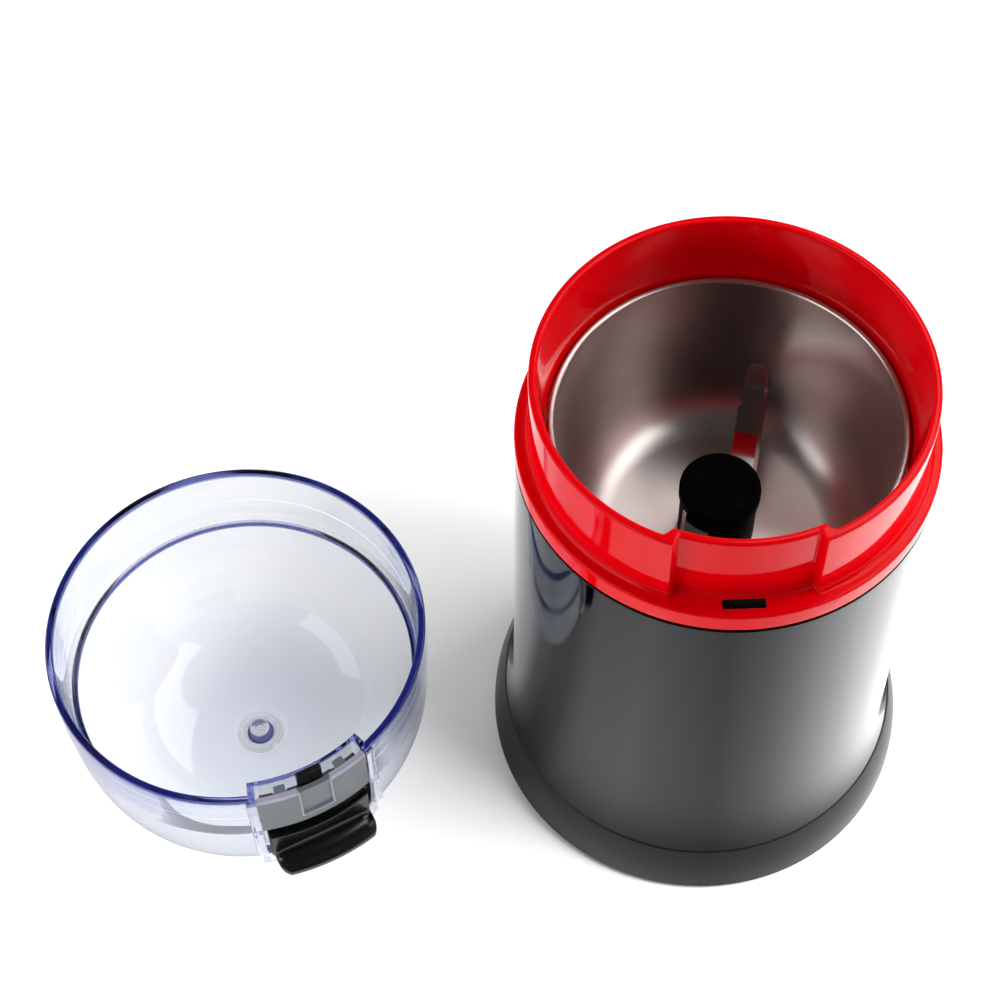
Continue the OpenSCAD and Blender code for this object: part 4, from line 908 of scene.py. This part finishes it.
# %% Button
SPRING_AZ, SPRING_R, SEAT_LOW = 10, 44.8, 49.5
face_turns = sorted(span(-16.4, 16.4, 44) + [s * a for s in (-1, 1) for a in span(9.5, 15.9, 26)])
button = swept("latch_button", [button_section(az) for az in face_turns])
slab = arc("slab", rounded([
    (SLAB_IN_R, 23.4, 0.3), (SLAB_R, 23.4, 0.3), (SLAB_R, 54.0, 0.3), (SLAB_IN_R, 54.0, 0.3)]), 16.8, 36)
for side in (-1, 1):
    seat = [(42.0, 53.1), (48.0, 53.1), (48.0, 55.0), (42.0, 55.0)]
    carved(slab, arc("seat", seat, 2.4, 6, side * SPRING_AZ))
    well = turned("well", [(0, SEAT_LOW), (1.35, SEAT_LOW), (1.35, 54.0), (0, 54.0)], 32)
    carved(slab, moved(well, polar(side * SPRING_AZ, SPRING_R, 0)))
carved(button, slab, "UNION")
carved(button, box_piece("tongue", (-3.3, -44.9, 52.0), (3.3, -43.35, 61.1), 0.45), "UNION")
root = [(43.5, 52.0), (44.9, 52.0), (44.9, 53.0), (43.5, 53.0)]
carved(button, arc("tongue_root", root, 8, 16), "UNION")
button.data.transform(LID_PLACE)
shaded(button, 30)
print("button faces:", len(button.data.polygons))

# %% [markdown]
# ## Springs
# A compression spring is wire on a helix whose first and last turns lie closer together. Spiral gives the
# helix, Set Position draws its ends together, and Curve to Mesh gives the wire its thickness. The same tree
# makes the springs of the lid's button, of the switch plunger and of the brushes.

# %% Spring tree
spring_tree, given, out = shape_tree("Coil spring", [
    ("Coil radius", "Float"), ("Wire radius", "Float"), ("Turns", "Float"), ("Length", "Float"),
    ("Finish", "Material"),
])
helix = node(spring_tree, "GeometryNodeCurveSpiral", {
    "Resolution": 20, "Rotations": given["Turns"], "Start Radius": given["Coil radius"],
    "End Radius": given["Coil radius"], "Height": 1.0,
})
here = node(spring_tree, "GeometryNodeInputPosition").outputs[0]
at = node(spring_tree, "ShaderNodeSeparateXYZ", {0: here}).outputs
wave = calc(spring_tree, "SINE", calc(spring_tree, "MULTIPLY", at[2], 2 * math.pi))
closer = calc(spring_tree, "SUBTRACT", at[2], calc(spring_tree, "MULTIPLY", wave, 0.09))
wire_thick = calc(spring_tree, "MULTIPLY", given["Wire radius"], 2.0)
run = calc(spring_tree, "SUBTRACT", given["Length"], wire_thick)
rise = calc(spring_tree, "ADD", given["Wire radius"], calc(spring_tree, "MULTIPLY", closer, run))
drawn = node(spring_tree, "ShaderNodeCombineXYZ", {0: at[0], 1: at[1], 2: rise}).outputs[0]
path = node(spring_tree, "GeometryNodeSetPosition", {"Geometry": helix.outputs[0], "Position": drawn})
ring = node(spring_tree, "GeometryNodeCurvePrimitiveCircle", {
    "Resolution": 8, "Radius": given["Wire radius"]})
wire = node(spring_tree, "GeometryNodeCurveToMesh", {
    "Curve": path.outputs[0], "Profile Curve": ring.outputs[0], "Fill Caps": True})
ended(spring_tree, wire.outputs[0], given["Finish"], out)


def spring(name, coil, wire_r, turn_count, length):
    """A compression spring in millimetres that stands on zero."""
    return grown(name, spring_tree, {
        "Coil radius": coil * MM, "Wire radius": wire_r * MM, "Turns": float(turn_count),
        "Length": length * MM, "Finish": finishes["spring_steel"]})


# %% Springs in their places
BUTTON_SPRING_L, PLUNGER_SPRING_L, PLUNGER_Y, PLUNGER_SEAT = 7.9, 8.4, -43, 90.5
coils = moved(spring("button_spring", 1.05, 0.2, 7.5, BUTTON_SPRING_L), (0, 0, SEAT_LOW))
button_springs = ringed(
    "button_coils", coils, 2, SPRING_R, FRONT - SPRING_AZ, 2 * SPRING_AZ, "spring_steel")
button_springs.data.transform(LID_PLACE)
plunger_spring = moved(
    spring("plunger_coil", 1.675, 0.27, 6, PLUNGER_SPRING_L), (0, PLUNGER_Y, PLUNGER_SEAT))
coils = moved(spring("brush_spring", 1.9, 0.27, 5.5, 6.3), (0, 0, 38.5), 90, "Y")
brush_springs = ringed("brush_coils", coils, 2, 18.9, 90, 180, "spring_steel")
print("spring faces:", [len(p.data.polygons) for p in (button_springs, plunger_spring, brush_springs)])

# %% [markdown]
# ## Feet, screws and gland
# A rubber foot is a soft disc with a hollow underneath that grips the table, and a stud that is pushed
# through the base plate. A countersunk screw shows its cross recess. Foot and screw are made once and then
# copied round, so that all four of each stay equal. The gland is a rubber bush that keeps the cord from
# chafing: it is turned upright and then laid down into its hole.

# %% Feet and base screws
foot = turned("foot", rounded([
    (0, 0.6, 0), (2.6, 0.6, 0.3), (3.1, 0, 0.3), (4.4, 0, 0.7), (5.0, 1.1, 0.5), (5.0, 2.0, 0.3),
    (2.0, 2.0, 0), (1.9, 4.6, 0.4), (1.2, 5.0, 0.3), (0, 5.0, 0)]), 48)
rubber_feet = ringed("soft_feet", shaded(foot), 4, 42.0, 0, 90, "rubber_black")
SCREW_R, THREAD_DEPTH, THREAD_STEP = 1.45, 0.22, 0.4
thread = [(SCREW_R - THREAD_DEPTH * (k % 2), 3.9 + THREAD_STEP * k, 0) for k in range(28)]
screw = turned("screw", rounded([
    (0, 2.0, 0), (2.8, 2.0, 0.15), (SCREW_R, 3.5, 0.1), *thread, (0.4, 15.5, 0), (0, 15.5, 0)], 2), 40)
for turn in (0, 90):
    carved(screw, moved(box_piece("recess", (-1.7, -0.32, 1.5), (1.7, 0.32, 3.0), 0), turn=turn))
base_screws = ringed("plate_screws", shaded(screw, 30), 4, 40.53, 45, 90, "screw_steel")
print("feet and screw faces:", len(rubber_feet.data.polygons), len(base_screws.data.polygons))

# %% Gland for the cord
gland = turned("gland", rounded([
    (3.25, 46.75, 0.4), (5.0, 46.75, 0.6), (5.0, 49.05, 0.3), (4.3, 49.05, 0), (4.3, 52.0, 0),
    (5.0, 52.0, 0.3), (5.0, 52.9, 0.2), (4.75, 53.1, 0.2), (4.75, 53.5, 0.2), (4.9, 53.7, 0.2),
    (4.7, 54.6, 0.6), (3.25, 54.6, 0.4)]), 64)
shaded(moved(gland, (0, 0, CORD_Z), -90, "X"))
print("gland faces:", len(gland.data.polygons))

# %% [markdown]
# ## Switch plunger
# Under the ledge's slot stands a grey slide. The tongue of the lid's button pushes it down onto a small snap
# switch. It is a thin moulded slab with a flange that stops it under the ledge, and a stud that guides its
# spring. Such a plain moulding needs no more than blocks and a turned stud, joined into one skin.

# %% Plunger
plunger = box_piece("plunger_slide", (-4.3, -44.2, 99.2), (4.3, -43.0, 131.3), 0.35)
carved(plunger, box_piece("flange", (-5.8, -44.2, 98.9), (5.8, -41.4, 100.9), 0.25), "UNION")
stud = turned("stud", rounded([(0, 85.6, 0), (1.2, 85.6, 0.3), (1.2, 99.4, 0), (0, 99.4, 0)]), 40)
carved(plunger, moved(stud, (0, PLUNGER_Y, 0)), "UNION")
shaded(plunger)
print("plunger faces:", len(plunger.data.polygons))

# %% [markdown]
# ## The fan
# The fan draws air through the vents below the motor. Its vanes lean back against the direction of turning,
# which keeps it quieter. Nine vanes could be drawn one by one, but then no two would be quite the same. So
# one curved vane is drawn, and the same tree sets nine of it round the hub.

# %% Fan
def vane_section(share):
    """One upright section of a vane, from share 0 at the hub to 1 at the rim. Its foot rises outwards."""
    lean, r, half = math.radians(26 * share ** 1.4), 5.2 + 14.2 * share, 0.55 - 0.15 * share
    x, y = r * math.cos(lean), r * math.sin(lean)
    dx, dy = half * math.sin(lean), half * math.cos(lean)
    low, high = 17.5 + 1.6 * share, 23.6
    return [(x + dx, y - dy, low), (x + dx, y - dy, high), (x - dx, y + dy, high), (x - dx, y + dy, low)]


vane = eased(swept("vane", [vane_section(k / 10) for k in range(11)]), 0.12, 50, 2)
vanes = ringed("vanes", vane, 9, 0, 0, 40, "fan_plastic")
disc = turned("disc", rounded([
    (3.53, 17.5, 0.2), (5.9, 17.5, 0.4), (5.9, 22.6, 1.0), (9.0, 23.3, 0), (19.6, 23.3, 0.3),
    (20.0, 23.7, 0.2), (20.0, 24.5, 0.3), (3.53, 24.5, 0.2)]), 96)
fan = shaded(joined("suction_fan", vanes, disc), 40)
print("fan faces:", len(fan.data.polygons))

# %% [markdown]
# ## Put each piece in its node's place
# A new piece rides on the CAD body it belongs to, hides the CAD node it stands for, and names the material
# slot its finish comes from. One table says all of this, so that no piece is forgotten.

# %% Dress the nodes
def dress(piece, stands_for, slot, body, edge_slot=None):
    """A piece may carry a second finish on the faces that edged() marked."""
    marks = [face.material_index for face in piece.data.polygons]
    piece.data.materials.clear()
    for name in (slot, edge_slot) if edge_slot else (slot,):
        piece.data.materials.append(finishes[name])
    if edge_slot:
        piece.data.polygons.foreach_set("material_index", marks)
    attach(piece, body)
    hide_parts(stands_for)


for dressed in (
    (base_ring, "base_ring", "ring_grey", "base"), (body_sleeve, "body_sleeve", "body_gunmetal", "base"),
    # The collar's slot walls take switch_black as painted shade.
    (collar, "collar", "collar_red", "base", "switch_black"), (bowl, "bowl", "bowl_steel", "base"),
    (blade, "blade", "blade_steel", "rotor"), (hub_cap, "hub_cap", "hub_black", "rotor"),
    (blade_hub, "blade_hub", "hub_black", "rotor"), (lid_shell, "lid_shell", "lid_clear", "lid"),
    (latch_cover, "latch_cover", "cover_clear", "lid", "frosted_edge"),
    (button, "lid_button", "button_black", "button"),
    (rubber_feet, "rubber_feet", "rubber_black", "base"), (base_screws, "base_screws", "screw_steel", "base"),
    (gland, "cord_inlet", "rubber_black", "base"), (brush_springs, "brush_springs", "spring_steel", "base"),
    (plunger_spring, "plunger_spring", "spring_steel", "base"),
    (plunger, "switch_plunger", "plunger_grey", "plunger"), (fan, "cooling_fan", "fan_plastic", "rotor"),
    (button_springs, "button_springs", "spring_steel", "lid"),
):
    dress(*dressed)
    print("dressed:", dressed[1])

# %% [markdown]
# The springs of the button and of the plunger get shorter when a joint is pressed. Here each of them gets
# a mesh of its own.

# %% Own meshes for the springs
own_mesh(button_springs)
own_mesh(plunger_spring)

# %% [markdown]
# ## Finishes for the solids that stay
# The inner parts keep their CAD shape, which is right as it is. Each gets the node material of its own slot,
# so that copper, sheet steel, carbon and plastic can be told apart when the grinder is taken to pieces.

# %% Paint the CAD solids
slot_of = {part["node"]: part["material_slot"] for part in frame["record"]["subparts"]}
painted = []
for name, solid in nodes.items():
    if solid.hide_render:
        continue
    if not solid.material_slots:
        solid.data.materials.append(finishes[slot_of[name]])
    for place in solid.material_slots:
        place.material = finishes[slot_of[name]]
    painted.append(name)
print("painted solids:", len(painted), sorted(painted))

# %% [markdown]
# ## The floor
# The floor is white paper. Its brightness comes mostly from the light that falls on it, which leaves soft
# grey shadows, and a little from a glow that only the camera and the clear plastic see. A lamp makes a real
# table bright on one side of a product and dim on the other, and the glossy body mirrors that. So where the
# floor is mirrored, that light is painted into its colour, as a ramp over the angle round the body.

# %% Floor
TABLE_HALF, PAPER, GLOW, WHITE = 3000, 0.8, 0.09, (1, 1, 1, 1)
# Painted light on the floor, seen only in mirrors: brighter or dimmer by the angle round the body.
PAINTED_FLOOR_LIGHT = (  # angle round the body from its front, and the floor's share of its colour in a mirror
    (-180, 1.25), (-98, 1.25), (-90, 0.60), (-80, 0.34), (-70, 0.34), (-58, 0.64), (-34, 0.78), (-13, 0.56),
    (2, 0.42), (22, 0.60), (46, 1.0), (66, 1.2))
corners = [(x * TABLE_HALF, y * TABLE_HALF, 0) for x, y in ((-1, -1), (1, -1), (1, 1), (-1, 1))]
floor = as_piece("table", corners, [(0, 1, 2, 3)])
paper = bpy.data.materials.new("paper_white")
paper.use_nodes = True
tree = paper.node_tree
tree.nodes.clear()
rays = node(tree, "ShaderNodeLightPath").outputs
spot = place_xyz(tree)
round_body = calc(tree, "ARCTAN2", spot[0], calc(tree, "MULTIPLY", spot[1], -1.0))
part_turn = calc(tree, "ADD", calc(tree, "DIVIDE", round_body, 2 * math.pi), 0.5)
share = node(tree, "ShaderNodeValToRGB", {0: part_turn})
shades = share.color_ramp.elements
for k, (angle, bright) in enumerate(PAINTED_FLOOR_LIGHT):
    stop = shades[k] if k < 2 else shades.new(0.999)
    stop.position, stop.color = angle / 360 + 0.5, (PAPER * bright,) * 3 + (1,)
mirrored = calc(tree, "GREATER_THAN", rays["Is Glossy Ray"], rays["Is Transmission Ray"])
paper_colour = mix(tree, mirrored, (PAPER, PAPER, PAPER, 1), share.outputs[0])
plain = node(tree, "ShaderNodeBsdfDiffuse", {"Color": paper_colour})
seen = calc(tree, "MAXIMUM", rays["Is Camera Ray"], rays["Is Transmission Ray"])
glow = node(tree, "ShaderNodeEmission", {"Color": WHITE, "Strength": calc(tree, "MULTIPLY", seen, GLOW)})
both = node(tree, "ShaderNodeAddShader", {0: plain.outputs[0], 1: glow.outputs[0]})
node(tree, "ShaderNodeOutputMaterial", {"Surface": both.outputs[0]})
floor.data.materials.append(paper)
print("shades round the body:", len(shades))

# %% [markdown]
# ## The room
# A glossy product shows the room it stands in. This room is a dark studio with a white strip low down, a dark
# panel in front and four soft boxes: a wide one high at the right, two small ones under it and a larger one
# at the left. Plain white all round would make the steel and the red flat. Each box and the panel are the
# same node group with its own place and size.

# %% Group for a soft box in the room
softbox, asked, told = group(
    "Soft box",
    [("Azimuth", "Float", 0.0), ("Height", "Float", 30.0), ("Half width", "Float", 20.0),
     ("Half height", "Float", 10.0), ("Softness", "Float", 3.0)],
    [("Light", "Float")],
)
view = place_xyz(softbox, "Generated")
azimuth = calc(softbox, "MULTIPLY", asked["Azimuth"], math.pi / 180)
along = calc(softbox, "ADD", calc(softbox, "MULTIPLY", view[0], calc(softbox, "COSINE", azimuth)),
             calc(softbox, "MULTIPLY", view[1], calc(softbox, "SINE", azimuth)))
turned_off = calc(softbox, "ARCCOSINE", calc(softbox, "DIVIDE", along, from_axis(softbox, view)))
aside = calc(softbox, "MULTIPLY", turned_off, 180 / math.pi)
above = calc(softbox, "MULTIPLY", calc(softbox, "ARCSINE", view[2]), 180 / math.pi)
off = calc(softbox, "ABSOLUTE", calc(softbox, "SUBTRACT", above, asked["Height"]))
masks = []
for distance, half in ((aside, asked["Half width"]), (off, asked["Half height"])):
    masks.append(node(softbox, "ShaderNodeMapRange", {
        "Value": distance, "From Min": calc(softbox, "ADD", half, asked["Softness"]), "From Max": half,
    }, interpolation_type="SMOOTHSTEP").outputs[0])
softbox.links.new(calc(softbox, "MULTIPLY", *masks), told["Light"])


def box_light(tree, *values):
    """How much of a soft box is seen in a direction: azimuth, height, half width, half height, softness."""
    labels = ("Azimuth", "Height", "Half width", "Half height", "Softness")
    return node(tree, "ShaderNodeGroup", dict(zip(labels, values)), node_tree=softbox).outputs[0]


def background(tree, colour, strength):
    """Light of one colour from everywhere in the world."""
    return node(tree, "ShaderNodeBackground", {"Color": colour, "Strength": strength}).outputs[0]


# %% [markdown]
# Rays tell the world what they are for. Mirrors see the dark room. The camera and the clear plastic see plain
# white. Matt surfaces get an even light that is stronger from low behind than from high in front, so that
# every colour comes out about as it is written and the front isn't flat.

# %% Sky
SOFT_BOXES = (  # azimuth, height, half width and half height in degrees, then the strength
    (22, 59, 54, 7.5, 3.1), (12, 26, 8, 7, 2.9), (-20, 32, 6, 7, 2.9), (198, 36, 28, 17, 2.4))
DARK_PANEL = (-75, 12, 50, 22, 12)
SKY = ((0.06, (1.0, 1.0, 1.0, 1)), (0.30, (0.20, 0.19, 0.19, 1)), (0.9, (0.06, 0.06, 0.06, 1)))
world = bpy.data.worlds.new("studio")
bpy.context.scene.world = world
world.use_nodes = True
tree = world.node_tree
tree.nodes.clear()
rays = node(tree, "ShaderNodeLightPath").outputs
way = place_xyz(tree, "Generated")
sky = node(tree, "ShaderNodeValToRGB", {0: way[2]})
stops = sky.color_ramp.elements
for k, (height, colour) in enumerate(SKY):
    stop = stops[k] if k < 2 else stops.new(height)
    stop.position, stop.color = height, colour
print("sky stops:", len(stops))

# %% What mirrors, matt surfaces and the camera see
boxes = 0.0
for *place, strength in SOFT_BOXES:
    boxes = calc(tree, "ADD", boxes, calc(tree, "MULTIPLY", box_light(tree, *place), strength))
dimmed = calc(tree, "SUBTRACT", 1.0, calc(tree, "MULTIPLY", box_light(tree, *DARK_PANEL), 0.85))

room = node(tree, "ShaderNodeAddShader", {
    0: background(tree, sky.outputs[0], dimmed), 1: background(tree, WHITE, boxes)})
leaning = calc(tree, "SUBTRACT", calc(tree, "MULTIPLY", way[1], 0.34), calc(tree, "MULTIPLY", way[2], 0.32))
even = background(tree, WHITE, calc(tree, "ADD", 0.62, leaning))
lit = node(tree, "ShaderNodeMixShader", {0: rays["Is Diffuse Ray"], 1: room.outputs[0], 2: even})
plainly = calc(tree, "MAXIMUM", rays["Is Camera Ray"], rays["Is Transmission Ray"])
both = node(tree, "ShaderNodeMixShader", {0: plainly, 1: lit.outputs[0], 2: background(tree, WHITE, 1.0)})
node(tree, "ShaderNodeOutputWorld", {"Surface": both.outputs[0]})
print("soft boxes:", len(SOFT_BOXES), "nodes in the world:", len(tree.nodes))

# %% [markdown]
# ## Lamps
# One large soft lamp at the right lights everything. A stronger one is for the floor alone, and only the base
# ring, the body and the collar cast a shadow in it, so that the latch leaves no dark patch under the clear
# lid. Two narrow lamps light the collar alone, one from each side. Light linking does that: a lamp's
# receivers and its blockers are collections. No lamp is mirrored, since the room has the soft boxes for that.

# %% Lamps
def lamp(name, place, target, size, power):
    """A soft lamp that lights but isn't mirrored. Its power is in watts, its places and sizes in metres."""
    light = bpy.data.lights.new(name, "AREA")
    light.shape, light.size, light.size_y, light.energy = "RECTANGLE", size[0], size[1], power
    made = shown(name, light)
    made.location = place
    made.rotation_euler = (Vector(target) - Vector(place)).to_track_quat("-Z", "Y").to_euler()
    made.visible_glossy = made.visible_transmission = False
    return made


def only(name, *pieces):
    """A collection for light linking."""
    chosen = bpy.data.collections.new(name)
    for piece in pieces:
        chosen.objects.link(piece)
    return chosen


lamp("right_light", (0.52, 0.20, 0.60), (0.0, 0, 0.08), (0.35, 0.35), 3.8)
table_light = lamp("table_light", (0.44, -0.19, 0.763), (0.0, 0, 0.0), (0.40, 0.40), 12.5)
left_light = lamp("left_light", (-0.70, -0.16, 0.27), (0.0, 0, 0.14), (0.30, 0.10), 2.5)
low_light = lamp("low_light", (0.70, -0.06, 0.27), (0.0, 0, 0.14), (0.30, 0.10), 1.2)
for light, receiver in ((table_light, floor), (left_light, collar), (low_light, collar)):
    light.light_linking.receiver_collection = only(light.name + "_only", receiver)
table_light.light_linking.blocker_collection = only("table_light_blockers", base_ring, body_sleeve, collar)

# %% [markdown]
# ## The camera
# The camera looks down steeply and is tilted a little to one side. Its three axes are worked out from these
# two angles and become the columns of its matrix. The view transform is Standard, which shows colours as they
# are. Clear plastic in several layers needs many bounces, or it turns black.

# %% Camera
DOWN, ROLL = math.radians(58.196), math.radians(-1.736)
CAMERA_PLACE, LENS = (-0.05097, -0.26922, 0.54256), 79.25
right_axis = Vector((1, 0, 0))
low_axis = Vector((0, -math.sin(DOWN), -math.cos(DOWN)))
look_axis = Vector((0, math.cos(DOWN), -math.sin(DOWN)))
x_axis = math.cos(ROLL) * right_axis - math.sin(ROLL) * low_axis
y_axis = -(math.sin(ROLL) * right_axis + math.cos(ROLL) * low_axis)
camera = shown("camera", bpy.data.cameras.new("camera"))
camera.data.lens, camera.data.sensor_width, camera.data.sensor_height = LENS, 36, 36
turned_axes = Matrix((x_axis, y_axis, -look_axis)).transposed().to_4x4()
camera.matrix_world = Matrix.Translation(CAMERA_PLACE) @ turned_axes
bpy.context.scene.camera = camera
bpy.context.scene.view_settings.view_transform = "Standard"
for label in ("max_bounces", "transmission_bounces", "glossy_bounces"):
    setattr(bpy.context.scene.cycles, label, 24)
print("camera at:", [round(c, 3) for c in camera.location])
